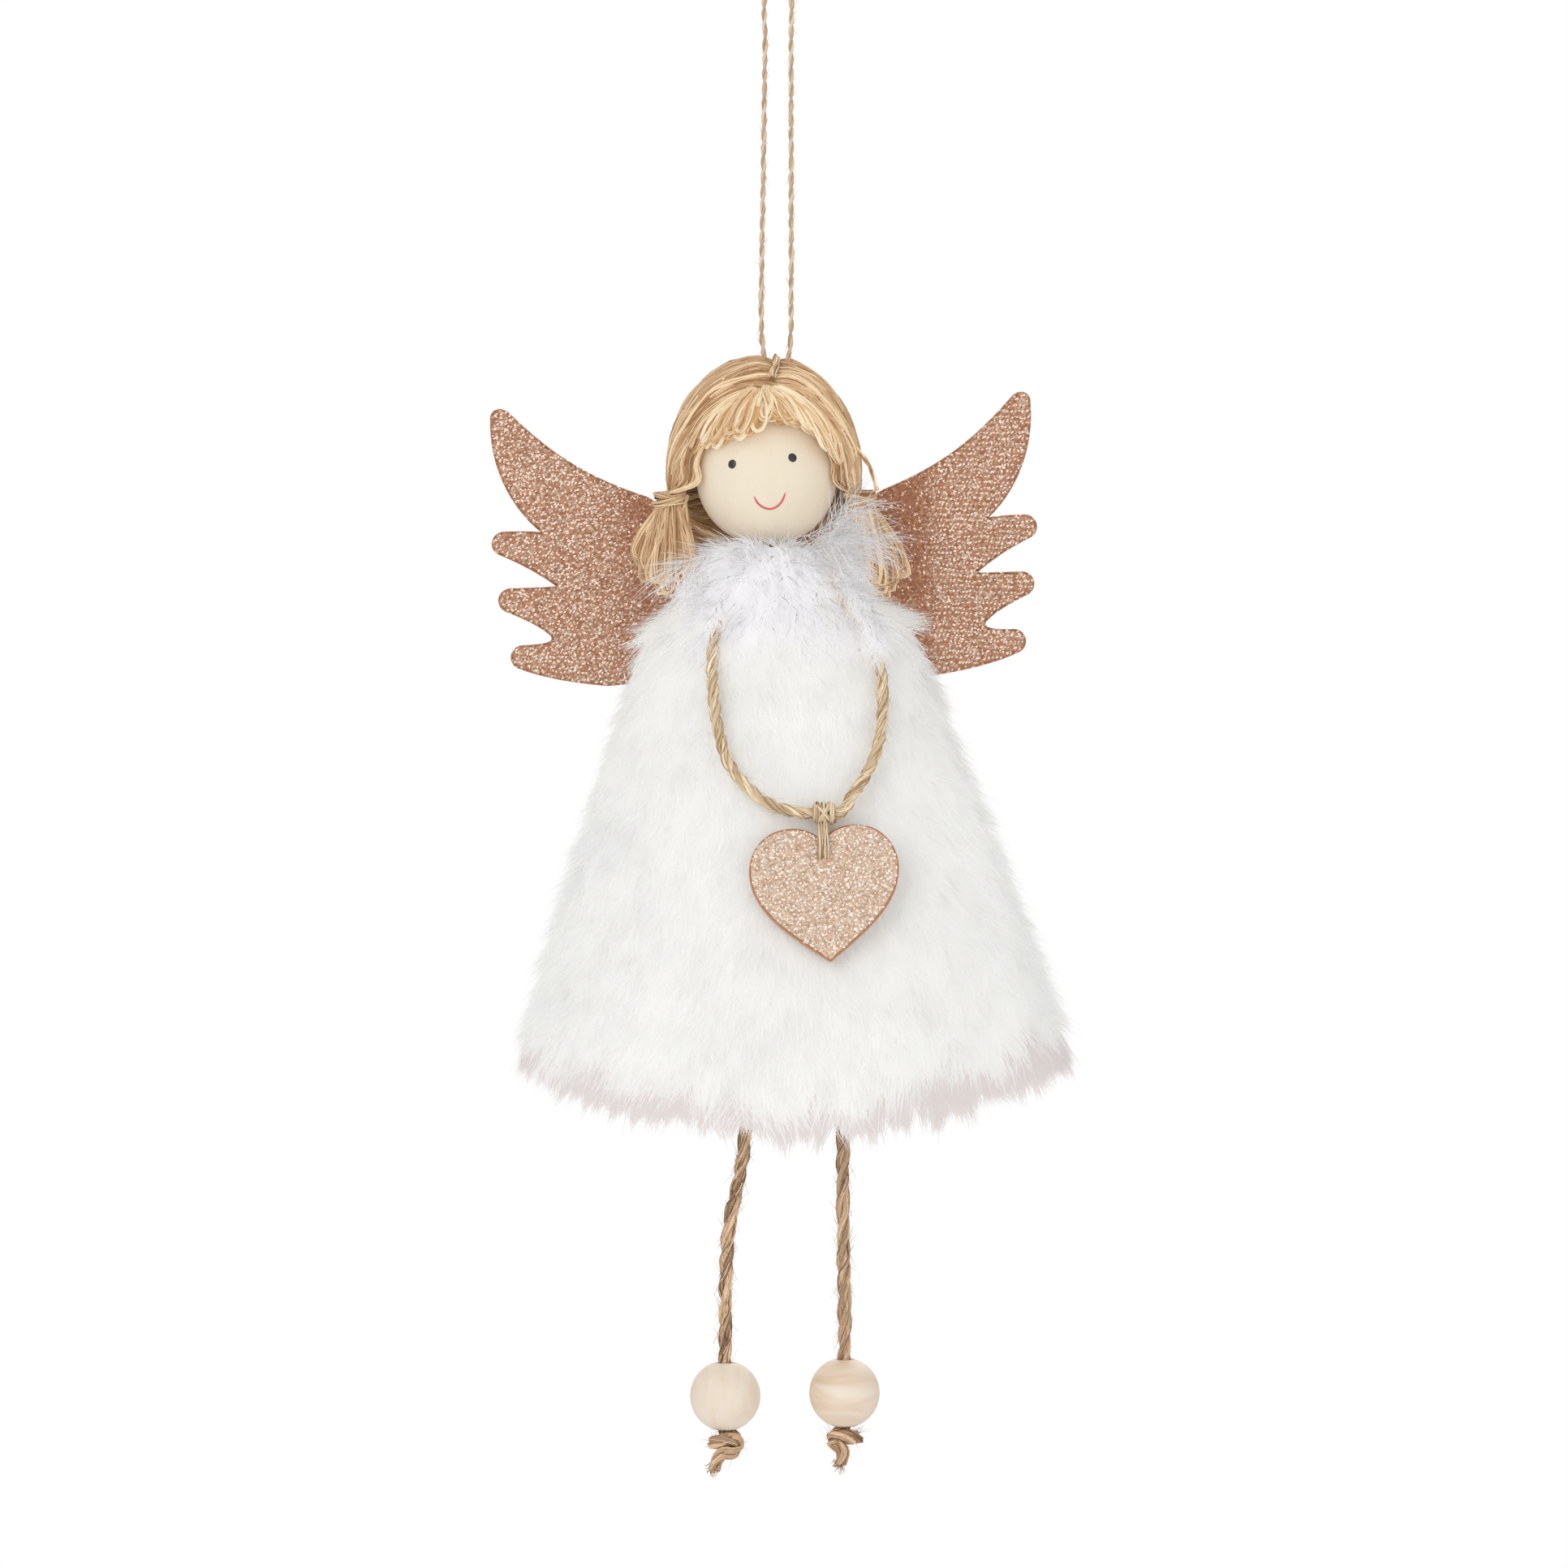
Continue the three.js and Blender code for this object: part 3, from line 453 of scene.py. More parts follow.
def mixed(tree, factor, first, second):
    """A colour between two others."""
    inputs = {"Factor": factor, 6: first, 7: second}
    return node(tree, "ShaderNodeMix", inputs, data_type="RGBA").outputs[2]


def new_group(name, inputs, outputs):
    """A node group; an input's value tells whether it is a number, a vector or a colour."""
    kinds = {1: "NodeSocketFloat", 3: "NodeSocketVector", 4: "NodeSocketColor"}
    group = bpy.data.node_groups.new(name, "ShaderNodeTree")
    for label, value in inputs.items():
        socket = group.interface.new_socket(label, in_out="INPUT", socket_type=kinds[np.size(value)])
        socket.default_value = value
    for label in outputs:
        kind = "NodeSocketColor" if label == "Color" else "NodeSocketFloat"
        group.interface.new_socket(label, in_out="OUTPUT", socket_type=kind)
    given = group.nodes.new("NodeGroupInput").outputs
    return group, given, group.nodes.new("NodeGroupOutput").inputs


def fibre_tone_group():
    """Colour of single fibres: a shade of its own for each, or a run from root to tip."""
    inputs = {"Dark": (0.3, 0.15, 0.06, 1), "Light": (0.8, 0.6, 0.35, 1), "Along": 0.0, "Mottle": 0.3}
    group, given, result = new_group("fibre_tone", inputs, ["Color"])
    place = node(group, "ShaderNodeUVMap", uv_map=BAKE_MAP).outputs[0]
    along, across, _ = node(group, "ShaderNodeSeparateXYZ", {0: place}).outputs
    row = maths(group, "FLOOR", maths(group, "MULTIPLY", across, float(TONE_ROWS)))
    own = node(group, "ShaderNodeTexWhiteNoise", {"W": row}, noise_dimensions="1D").outputs["Value"]
    drawn_out = node(group, "ShaderNodeMapping", {"Vector": place, "Scale": (9.0, 40.0, 1.0)}).outputs[0]
    streaks = {"Vector": drawn_out, "Scale": 1.0, "Detail": 3.0}
    streak = node(group, "ShaderNodeTexNoise", streaks, noise_dimensions="2D").outputs[0]
    patch = maths(group, "MULTIPLY", maths(group, "SUBTRACT", streak, 0.5), given["Mottle"])
    shades = {"Factor": given["Along"], 2: own, 3: along}
    shade = node(group, "ShaderNodeMix", shades, data_type="FLOAT").outputs[0]
    factor = maths(group, "ADD", shade, patch, clamp=True)
    feed(group, mixed(group, factor, given["Dark"], given["Light"]), result["Color"])
    return group


def glitter_group():
    """Fine glitter in its binder: cells with their own tone, some of them glinting in a pale colour, a
    painted highlight, with a metal shine of their own.
    """
    inputs = {
        "Binder": (0.3, 0.13, 0.07, 1),
        "Grain": (0.6, 0.35, 0.22, 1),
        "Glint": (0.95, 0.85, 0.8, 1),
        "Cells": 2600.0,
        "Share": 0.12,
    }
    group, given, result = new_group("glitter_coat", inputs, ["Color", "Roughness", "Metallic", "Height"])
    place = node(group, "ShaderNodeTexCoord").outputs["Object"]
    spread = {"Vector": place, "Scale": given["Cells"]}
    cells = node(group, "ShaderNodeTexVoronoi", spread, voronoi_dimensions="3D").outputs
    tone, chance, level = node(group, "ShaderNodeSeparateXYZ", {0: cells["Color"]}).outputs
    grain = mixed(group, tone, given["Binder"], given["Grain"])
    glints = maths(group, "LESS_THAN", chance, given["Share"])
    feed(group, mixed(group, glints, grain, given["Glint"]), result["Color"])
    feed(group, maths(group, "MULTIPLY_ADD", glints, -0.35, 0.6), result["Roughness"])
    feed(group, maths(group, "MULTIPLY", glints, 0.6), result["Metallic"])
    feed(group, maths(group, "SUBTRACT", level, cells["Distance"]), result["Height"])
    return group


def wood_group():
    """Pale turned wood: long soft grain with fine pores."""
    inputs = {
        "Pale": (0.9, 0.8, 0.66, 1),
        "Grain": (0.75, 0.58, 0.4, 1),
        "Strength": 0.4,
        "Stretch": (120.0, 120.0, 700.0),
    }
    group, given, result = new_group("turned_wood", inputs, ["Color", "Height", "Roughness"])
    place = node(group, "ShaderNodeTexCoord").outputs["Object"]
    both = {0: place, 1: given["Stretch"]}
    stretched = node(group, "ShaderNodeVectorMath", both, operation="MULTIPLY").outputs[0]
    soft = {"Vector": stretched, "Scale": 1.0, "Detail": 4.0, "Distortion": 0.6}
    bands = node(group, "ShaderNodeTexNoise", soft).outputs[0]
    pores = node(group, "ShaderNodeTexNoise", {"Vector": place, "Scale": 2600.0}).outputs[0]
    kept = {"Value": bands, "From Min": 0.38, "From Max": 0.72}
    band = node(group, "ShaderNodeMapRange", kept).outputs[0]
    factor = maths(group, "MULTIPLY", band, given["Strength"])
    feed(group, mixed(group, factor, given["Pale"], given["Grain"]), result["Color"])
    feed(group, maths(group, "ADD", bands, pores), result["Height"])
    feed(group, maths(group, "MULTIPLY_ADD", pores, 0.2, 0.42), result["Roughness"])
    return group


FIBRE_TONE = fibre_tone_group()
GLITTER = glitter_group()
WOOD = wood_group()


# Finishes


def finish(name, roughness=0.8, specular=0.3, colour=None):
    """A material with its tree and its Principled shader."""
    material = bpy.data.materials.new(name)
    material.use_nodes = True
    shader = material.node_tree.nodes["Principled BSDF"]
    shader.inputs["Roughness"].default_value = roughness
    shader.inputs["Specular IOR Level"].default_value = specular
    if colour:
        shader.inputs["Base Color"].default_value = (*colour, 1)
    return material, material.node_tree, shader.inputs


def placed(tree, group, **values):
    """A group in a material, with its values; colours are given without their alpha."""
    made = node(tree, "ShaderNodeGroup", node_tree=group)
    for label, value in values.items():
        colour = made.inputs[label].type == "RGBA"
        made.inputs[label].default_value = (*value, 1) if colour else value
    return made.outputs


def bumped(tree, sockets, height, strength, distance):
    inputs = {"Strength": strength, "Distance": distance, "Height": height}
    feed(tree, node(tree, "ShaderNodeBump", inputs).outputs[0], sockets["Normal"])


def fibre_finish(name, dark, light, along=0.0, mottle=0.3, through=0.0, **shine):
    """Fibres; through is the share of light that passes a fibre instead of turning back."""
    material, tree, sockets = finish(name, **shine)
    tone = placed(tree, FIBRE_TONE, Dark=dark, Light=light, Along=along, Mottle=mottle)["Color"]
    feed(tree, tone, sockets["Base Color"])
    if through > 0:
        opaque = tree.nodes["Principled BSDF"].outputs[0]
        passing = node(tree, "ShaderNodeBsdfTranslucent", {"Color": tone}).outputs[0]
        both = node(tree, "ShaderNodeMixShader", {0: through, 1: opaque, 2: passing}).outputs[0]
        feed(tree, both, tree.nodes["Material Output"].inputs["Surface"])
    return material


def glitter_finish(name, binder, grain, glint):
    material, tree, sockets = finish(name, specular=0.5)
    coat = placed(tree, GLITTER, Binder=binder, Grain=grain, Glint=glint)
    feed(tree, coat["Color"], sockets["Base Color"])
    feed(tree, coat["Roughness"], sockets["Roughness"])
    feed(tree, coat["Metallic"], sockets["Metallic"])
    bumped(tree, sockets, coat["Height"], 0.5, 0.0002)
    return material


def wood_finish(name, pale, grain, strength, stretch):
    material, tree, sockets = finish(name, specular=0.35)
    wood = placed(tree, WOOD, Pale=pale, Grain=grain, Strength=strength, Stretch=stretch)
    feed(tree, wood["Color"], sockets["Base Color"])
    feed(tree, wood["Roughness"], sockets["Roughness"])
    bumped(tree, sockets, wood["Height"], 0.12, 0.0002)
    return material


def cloth_finish(name, colour, shade, threads):
    """Woven backing: warp and weft as two crossed waves; the darker shade colour between the threads is
    painted shade.
    """
    material, tree, sockets = finish(name, roughness=0.9, specular=0.2)
    place = node(tree, "ShaderNodeTexCoord").outputs["Object"]
    inputs = {"Vector": place, "Scale": threads, "Distortion": 0.6}
    warp = node(tree, "ShaderNodeTexWave", inputs, bands_direction="X").outputs["Fac"]
    weft = node(tree, "ShaderNodeTexWave", inputs, bands_direction="Y").outputs["Fac"]
    weave = maths(tree, "MAXIMUM", warp, weft)
    feed(tree, mixed(tree, weave, (*shade, 1), (*colour, 1)), sockets["Base Color"])
    bumped(tree, sockets, weave, 0.4, 0.0003)
    return material


PILE = {"through": 0.45, "roughness": 0.9, "specular": 0.1}
COMBED = {"mottle": 0.5, "roughness": 0.5, "specular": 0.4}
FLAKE = {"along": 1.0, "mottle": 0.0, "specular": 0.6}
FUR = fibre_finish(
    "white_plush", (0.91, 0.905, 0.885), (0.985, 0.985, 0.975), along=0.5, mottle=0.4, **PILE
)
# The hem's pile is greyer and pinker towards its tips: painted shade where the pile turns under at the hem.
SHADED_HEM_FUR = fibre_finish(
    "hem_plush", (0.86, 0.832, 0.816), (0.82, 0.765, 0.752), along=0.6, mottle=0.5, **PILE
)
PLUSH_CLOTH = cloth_finish("plush_backing", (0.9, 0.9, 0.89), (0.84, 0.84, 0.82), 900.0)
DOWN_CORE = cloth_finish("down_core", (0.94, 0.935, 0.955), (0.88, 0.875, 0.9), 700.0)
LINING = cloth_finish("lining_cloth", (0.86, 0.85, 0.81), (0.66, 0.64, 0.6), 420.0)
DOWN = fibre_finish(
    "marabou_down", (0.965, 0.957, 0.972), (0.998, 0.992, 1.0), along=0.6, through=0.48, specular=0.1
)
HAIR = fibre_finish("combed_jute", (0.42, 0.21, 0.08), (1.0, 0.8, 0.53), **COMBED)
# A lighter copy of the combed jute for the fringe: painted light on locks that the hank above them shades.
LIT_FRINGE_HAIR = fibre_finish("fringe_jute", (0.7, 0.41, 0.18), (1.0, 0.88, 0.64), **COMBED)
# Darker jute for the layer under the locks: painted shade between and under the strands.
HAIR_PAINTED_SHADE = fibre_finish("jute_painted_shade", (0.38, 0.2, 0.08), (0.72, 0.46, 0.23), mottle=0.6)
TWINE = fibre_finish("loop_twine", (0.46, 0.31, 0.19), (0.78, 0.62, 0.45), mottle=0.5, roughness=0.7)
ROPE = fibre_finish("necklace_jute", (0.38, 0.23, 0.105), (1.0, 0.85, 0.62), mottle=0.8, roughness=0.6)
LEG_ROPE = fibre_finish("leg_jute", (0.17, 0.085, 0.04), (0.88, 0.63, 0.42), mottle=0.9, roughness=0.75)
HEAD_WOOD = wood_finish("head_wood", (0.84, 0.745, 0.6), (0.78, 0.655, 0.48), 0.35, (260.0, 260.0, 60.0))
LEFT_WOOD = wood_finish("left_bead_wood", (0.82, 0.72, 0.61), (0.74, 0.56, 0.4), 0.5, (420.0, 200.0, 90.0))
RIGHT_WOOD = wood_finish("right_bead_wood", (0.83, 0.73, 0.61), (0.66, 0.43, 0.26), 0.8, (60.0, 90.0, 330.0))
FOOT_WOOD = {"left": LEFT_WOOD, "right": RIGHT_WOOD}
# The glitter sheets' pale Glint colour is a painted highlight, with a metal shine of its own.
WING_SHEET = glitter_finish("wing_glitter", (0.32, 0.12, 0.055), (0.58, 0.29, 0.16), (0.9, 0.72, 0.6))
# The flakes' pale Light end is a painted glint, for the bright flakes that catch the light.
WING_FLAKE = fibre_finish("wing_flakes", (0.34, 0.115, 0.038), (1.0, 0.86, 0.7), roughness=0.3, **FLAKE)
HEART_SHEET = glitter_finish("heart_glitter", (0.54, 0.34, 0.23), (0.78, 0.55, 0.39), (0.95, 0.82, 0.7))
HEART_FLAKE = fibre_finish("heart_flakes", (0.48, 0.27, 0.14), (1.0, 0.94, 0.85), roughness=0.25, **FLAKE)
HEART_EDGE = finish("heart_edge", roughness=0.45, specular=0.5, colour=(0.5, 0.21, 0.09))[0]
EYE_PAINT = finish("eye_paint", roughness=0.25, specular=0.5, colour=(0.03, 0.03, 0.028))[0]
SMILE_PAINT = finish("smile_paint", roughness=0.5, colour=(0.66, 0.11, 0.11))[0]


# The dress's own surface, in the leaning frame that its pieces share


def outline(drop, shoulder, hem, swell):
    drop = np.asarray(drop, dtype=float)
    share = (drop - SHOULDER_DROP) / (DRESS_LENGTH - SHOULDER_DROP)
    upper = NECK_R + (shoulder - NECK_R) * (np.maximum(drop, 0) / SHOULDER_DROP) ** SHOULDER_CURVE
    lower = shoulder + (hem - shoulder) * share + swell * np.sin(np.pi * np.clip(share, 0, 1))
    return np.where(drop < SHOULDER_DROP, upper, lower)


def half_width(drop):
    return outline(drop, SHOULDER_HALF_W, HEM_HALF_W, 0.0)


def half_depth(drop):
    return outline(drop, SHOULDER_HALF_D, HEM_HALF_D, BELLY)


def middle(drop):
    return (HEAD[0] - DRESS_X) * np.maximum(0, 1 - np.asarray(drop) / SHOULDER_DROP)


def on_dress(angle, drop, inset):
    x = middle(drop) + (half_width(drop) - inset) * np.cos(angle)
    y = (half_depth(drop) - inset) * np.sin(angle)
    return np.stack(np.broadcast_arrays(x, y, -np.asarray(drop, dtype=float)), axis=-1)


def hem_drop(angle, inset):
    """How far below the neck the hem's arc lies at an angle round the dress."""
    side = float(half_width(DRESS_LENGTH - HEM_RISE))
    radius = (side**2 + HEM_RISE**2) / (2 * HEM_RISE)
    drop = np.full(np.shape(angle), DRESS_LENGTH - HEM_RISE)
    for _ in range(12):
        x = (half_width(drop) - inset) * np.cos(angle)
        drop = DRESS_LENGTH - radius + np.sqrt(radius**2 - x**2)
    return drop


def dress_axes(angle, drop, inset):
    """Place, outward, downward and sideways directions on the dress."""
    here = on_dress(angle, drop, inset)
    down = unit(on_dress(angle, drop + 0.1, inset) - here)
    side = unit(on_dress(angle + 0.002, drop, inset) - here)
    out = unit(np.cross(side, down))
    out = np.where((out[..., :2] * here[..., :2]).sum(-1, keepdims=True) < 0, -out, out)
    return here, out, down, side


def leaning(points):
    """From the dress's own frame to the ornament's."""
    points = np.asarray(points, dtype=float)
    x = DRESS_X + points[..., 0] * math.cos(LEAN) - points[..., 2] * math.sin(LEAN)
    z = NECK_Z + points[..., 0] * math.sin(LEAN) + points[..., 2] * math.cos(LEAN)
    return np.stack([x, points[..., 1], z], axis=-1)


def leaning_direction(vectors):
    return leaning(vectors) - leaning(np.zeros(3))


def front_of_dress(x, z):
    across = (x - DRESS_X) * math.cos(LEAN) + (z - NECK_Z) * math.sin(LEAN)
    drop = (x - DRESS_X) * math.sin(LEAN) - (z - NECK_Z) * math.cos(LEAN)
    share = (across - float(middle(drop))) / float(half_width(drop))
    return -float(half_depth(drop)) * math.sqrt(max(1 - share**2, 0.0))


def on_fur(x, z):
    """Where a cord lies on the front of the dress."""
    return (x, front_of_dress(x, z) - NECKLACE_STAND, z)


# Cords: the hanging loop, the necklace and the two legs

LOOP_ROUTE = [
    (-2.5, 0, -73.5), (-2.5, 0, -69.0), (-2.4, 0, -65.4), (-2.8, 0, -62.0), (-2.8, 0, -52.0),
    (-2.5, 0, -34.0), (-2.2, 0, -10.0), (-2.2, 0, -2.8), (-1.53, 0, -1.17), (0.1, 0, -0.5),
    (1.73, 0, -1.17), (2.4, 0, -2.8), (2.4, 0, -10.0), (2.4, 0, -34.0), (2.4, 0, -58.0),
    (2.3, 0, -62.0), (2.0, 0, -65.4), (1.0, 0, -69.0), (-1.3, 0, -73.5),
]
NECKLACE_LEFT = [
    (-10.4, -112.0), (-11.2, -117.5), (-11.1, -124.5), (-10.2, -131.5), (-8.5, -137.0), (-5.2, -141.4),
    (-0.6, -144.6),
]
NECKLACE_RIGHT = [
    (13.2, -142.4), (15.9, -138.2), (17.6, -133.6), (18.3, -128.0), (18.1, -122.0), (16.6, -116.8),
]
NECKLACE_PITCH = 8.5
LEG_PITCH = 13.0
LEGS = {
    "left": {
        "seed": 13,
        "top": (-5.71, -197.9),
        "bends": [
            (0, 0), (-0.35, -4), (-1.8, -11.4), (-2.9, -17.4), (-3.4, -24), (-3.5, -30), (-3.5, -52.3),
        ],
        "knot": [
            (0, 0.2, 1.5), (0.2, 0.3, 0.2), (1.7, 0.9, -0.9), (0.5, 1.8, -1.7), (-1.8, 1.0, -1.8),
            (-2.0, -0.8, -1.5), (-0.2, -1.7, -0.8), (1.9, -1.0, -0.9), (2.1, 0.5, -2.2), (1.1, -0.9, -3.1),
            (-0.5, -1.5, -3.3), (-1.5, -1.3, -4.6), (-2.0, -1.1, -6.2),
        ],
    },
    "right": {
        "seed": 14,
        "top": (11.58, -197.3),
        "bends": [
            (0, 0), (-0.05, -4), (-0.1, -12), (0, -19), (0.15, -25), (0.2, -30), (0.2, -52.3),
        ],
        "knot": [
            (0, 0.2, 1.5), (-0.2, 0.3, 0.2), (-1.7, 0.9, -0.8), (-0.4, 1.8, -1.4), (1.8, 1.0, -1.3),
            (2.0, -0.7, -1.3), (0.3, -1.7, -0.7), (-1.8, -1.1, -0.9), (-2.1, 0.3, -2.0), (-1.0, -1.2, -2.6),
            (-0.3, -1.6, -3.4), (-0.5, -1.4, -4.5), (-0.8, -1.2, -5.6),
        ],
    },
}


def solid_points(name):
    return np.array([v.co for v in frame["nodes"][name].data.vertices]) / MM


def make_hanging_loop():
    rng = np.random.default_rng(11)
    path = spline(LOOP_ROUTE, 0.45)
    part = laid_rope(path, LOOP_D, 2, 5.2, 6, rng, fuzz=1.6)
    piece = add_piece("hanging_loop", part, TWINE, "torso", "twine", "hang_loop")


def necklace_path():
    """The rope's middle: down the left, through the knot, and up to its solid's end on the right."""
    knot = on_fur(KNOT_X, KNOT_Z)
    straight = 2.7
    end_ring = 2.2
    solid = solid_points("necklace_cord")
    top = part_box("necklace_cord")[1].z / MM
    route = [on_fur(x, z) for x, z in NECKLACE_LEFT]
    route += [(KNOT_X - straight, knot[1], KNOT_Z), knot, (KNOT_X + straight, knot[1], KNOT_Z)]
    route += [on_fur(x, z) for x, z in NECKLACE_RIGHT]
    route += [solid[solid[:, 2] > top - end_ring].mean(axis=0)]
    return spline(route, 0.4)


def make_necklace():
    rng = np.random.default_rng(12)
    path = necklace_path()
    part = laid_rope(path, NECKLACE_D, 3, NECKLACE_PITCH, 11, rng, fuzz=2.2)
    piece = add_piece("necklace_rope", part, ROPE, "necklace", "rope", "necklace_cord")


def neck_rope_path():
    """The middle of the rope round the neck, from the solid that it stands for."""
    solid = solid_points("necklace_neck_rope")
    centre = solid.mean(axis=0)
    around = np.arctan2(solid[:, 1] - centre[1], solid[:, 0] - centre[0])
    order = np.argsort(np.mod(around + np.pi / 2, 2 * np.pi))
    return spline([solid[chosen].mean(axis=0) for chosen in np.array_split(order, 29)], 0.5)


def make_neck_rope():
    rng = np.random.default_rng(64)
    part = laid_rope(neck_rope_path(), NECKLACE_D, 3, NECKLACE_PITCH, 7, rng)
    add_piece("neck_rope", part, ROPE, "torso", "rope", "necklace_neck_rope")


def bead_part(centre, diameter, bore, edge=0.35):
    """A turned bead: round outside, softened at the two mouths of its bore."""
    start = math.asin((bore + 2 * edge) / diameter)
    profile = []
    for angle in np.linspace(start, math.pi - start, 44):
        profile.append((diameter / 2 * math.sin(angle), diameter / 2 * math.cos(angle)))
    top = profile[0][1]
    profile = [(bore / 2, top - edge), (bore / 2 + 0.3 * edge, top - 0.25 * edge)] + profile
    profile += [(bore / 2 + 0.3 * edge, -top + 0.25 * edge), (bore / 2, -top + edge)]
    radius, height = np.array(profile).T
    turn = turns(72)
    flat = [np.outer(radius, np.cos(turn)), np.outer(radius, np.sin(turn))]
    points = np.stack([*flat, np.repeat(height[:, None], len(turn), axis=1)], axis=-1)
    return skin(points + np.asarray(centre), closed_rows=True)


def frayed_end(path, rng):
    """Short loose fibres where a rope is cut."""
    count, steps = 70, 5
    heading = unit(path[-1] - path[-5])
    spread = rng.normal(0, 0.5, (count, 3))
    starts = path[-1] + rng.normal(0, 0.45, (count, 3)) - heading * 0.4
    t = np.linspace(0, 1, steps)[None, :, None]
    size = rng.uniform(0.4, 1.1, (count, 1, 1))
    frayed = starts[:, None] + size * (t * heading + t**2 * spread[:, None])
    radii = np.broadcast_to(0.11 * np.linspace(1, 0.5, steps), (count, steps))
    return tubes(frayed, radii, 3, (0.0, 1.0, 0.1), rng)


def make_leg(side):
    facts = LEGS[side]
    rng = np.random.default_rng(facts["seed"])
    x, top = facts["top"]
    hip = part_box(f"{side}_leg_cord")[1].z / MM - LEG_D / 2
    route = [(x, 0, top), (x, 0, top - 2.2)] + [(x + dx, 0, hip + dz) for dx, dz in facts["bends"]]
    path = spline(route, 0.42)
    rope = mesh_piece(f"{side}_leg_rope", laid_rope(path, LEG_D, 3, LEG_PITCH, 11, rng, fuzz=3.5), LEG_ROPE)
    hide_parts(f"{side}_leg_cord", f"{side}_leg_root")
    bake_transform(rope)

    bead_low, bead_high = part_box(f"{side}_foot_bead")
    centre = (np.array(bead_low) + np.array(bead_high)) / 2 / MM
    part = bead_part(centre, FOOT_D, FOOT_BORE_D)
    foot = f"{side}_foot"
    bead = add_piece(f"{side}_wooden_foot", part, FOOT_WOOD[side], foot, "foot_wood", f"{side}_foot_bead")

    knot_top = np.array([path[-1][0], 0.0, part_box(f"{side}_foot_knot")[1].z / MM - 0.4])
    knot_path = spline([knot_top + np.array(p) for p in facts["knot"]], 0.32)
    part = joined(laid_rope(knot_path, 2.5, 3, 12.0, 11, rng, fuzz=3.0), frayed_end(knot_path, rng))
    leg = f"{side}_leg"
    knot = add_piece(f"{side}_foot_knot_rope", part, LEG_ROPE, leg, "leg_rope", f"{side}_foot_knot")


# Dress: backing cloth and its pile


def make_dress():
    """The sewn cone: outer cloth under the pile, a turned hem and the inside up to the base panel."""
    angles = np.linspace(0, 2 * np.pi, 96, endpoint=False)
    hem = hem_drop(angles, CLOTH_INSET) - 2.4
    rings = [on_dress(angles, share * hem, CLOTH_INSET) for share in np.linspace(0.004, 1.0, 34)]
    for rise, inset in [(-0.35, 4.1), (0.2, 4.9), (3.0, 5.1), (8.0, 5.1)]:
        rings.append(on_dress(angles, hem - rise, inset))
    cloth = add_piece("dress_cloth", skin(leaning(rings)), PLUSH_CLOTH, "torso", "fur", "dress_skin")


def ribbon_piece(name, paths, widths, facing, shading, material, slot, rng, *stands_for):
    """Pale fibres as flat ribbons; each takes its light from one direction, as soft white fibre does.

    They are so thin that they neither shade nor tint what lies beside them.
    """
    part = tubes(paths, np.broadcast_to(widths, paths.shape[:2]), 2, facing[:, None], rng)
    normals = np.repeat(unit(shading), 2 * paths.shape[1], axis=0)
    piece = add_piece(name, part, material, "torso", slot, *stands_for, normals=normals)
    piece.visible_diffuse = False
    airy(piece)


def even_places(count, rng):
    """Angles and drops spread evenly over the dress's area, fewer and fewer towards the hem."""
    first, above_hem, fade = 1.0, 6.0, 7.0
    angles, drops = [], []
    while sum(len(a) for a in angles) < count:
        angle = rng.uniform(0, 2 * np.pi, count)
        drop = rng.uniform(first, DRESS_LENGTH, count)
        wide = (half_width(drop) - PILE_INSET) * np.sin(angle)
        deep = (half_depth(drop) - PILE_INSET) * np.cos(angle)
        lowest = hem_drop(angle, PILE_INSET) - above_hem - fade * rng.uniform(0, 1, count)
        keep = (rng.uniform(0, HEM_HALF_W, count) < np.hypot(wide, deep)) & (drop < lowest)
        angles.append(angle[keep])
        drops.append(drop[keep])
    return np.concatenate(angles)[:count], np.concatenate(drops)[:count]


def clear_of_pigtail(angle, drop, rng):
    """Most of the pile under the left pigtail is pressed flat, so it is left out."""
    x, y, z = leaning(on_dress(angle, drop, PILE_INSET)).T
    under = (x > -24) & (x < -12.5) & (z > -110) & (y < 2)
    keep = ~under | (rng.uniform(0, 1, len(angle)) < 0.2)
    return angle[keep], drop[keep]


def fur_piece(name, angle, drop, widths, material, rng, strands, length, lift, fall, spread, gather):
    """Pile in locks: the strands of a lock start apart and lean together towards its tip."""
    place, out, down, side = dress_axes(angle, drop, PILE_INSET)
    count = len(angle)
    size = length * rng.uniform(0.85, 1.15, (count, 1))
    sway = 0.16 * np.sin(0.13 * place[:, :1] + 0.09 * drop[:, None]) + rng.normal(0, 0.22, (count, 1))
    heading = unit(lift * out * rng.uniform(0.8, 1.2, (count, 1)) + fall * down + sway * side)
    tip = place + size * heading
    scatter = rng.normal(0, spread, (count, strands, 2))
    roots = place[:, None] + scatter[..., :1] * side[:, None] + scatter[..., 1:] * down[:, None]
    tips = tip[:, None] + gather * (roots - place[:, None])
    tips = tips + heading[:, None] * size[:, None] * rng.normal(0, 0.1, (count, strands, 1))
    tips = tips + rng.normal(0, 0.45, (count, strands, 3))
    bend = roots + 0.5 * size[:, None] * unit(out * lift * 1.5 + heading)[:, None]
    t = np.array([0.0, 0.34, 0.68, 1.0])[None, None, :, None]
    paths = leaning(quadratic(roots[:, :, None], bend[:, :, None], tips[:, :, None], t).reshape(-1, 4, 3))
    roll = rng.normal(0, 0.3, (count, strands, 1))
    facing = np.cos(roll) * out[:, None] + np.sin(roll) * side[:, None]
    facing = leaning_direction(facing.reshape(-1, 3))
    outward = leaning_direction(np.repeat(out, strands, axis=0))
    ribbon_piece(name, paths, widths, facing, outward + 0.35 * facing, material, "fur", rng)


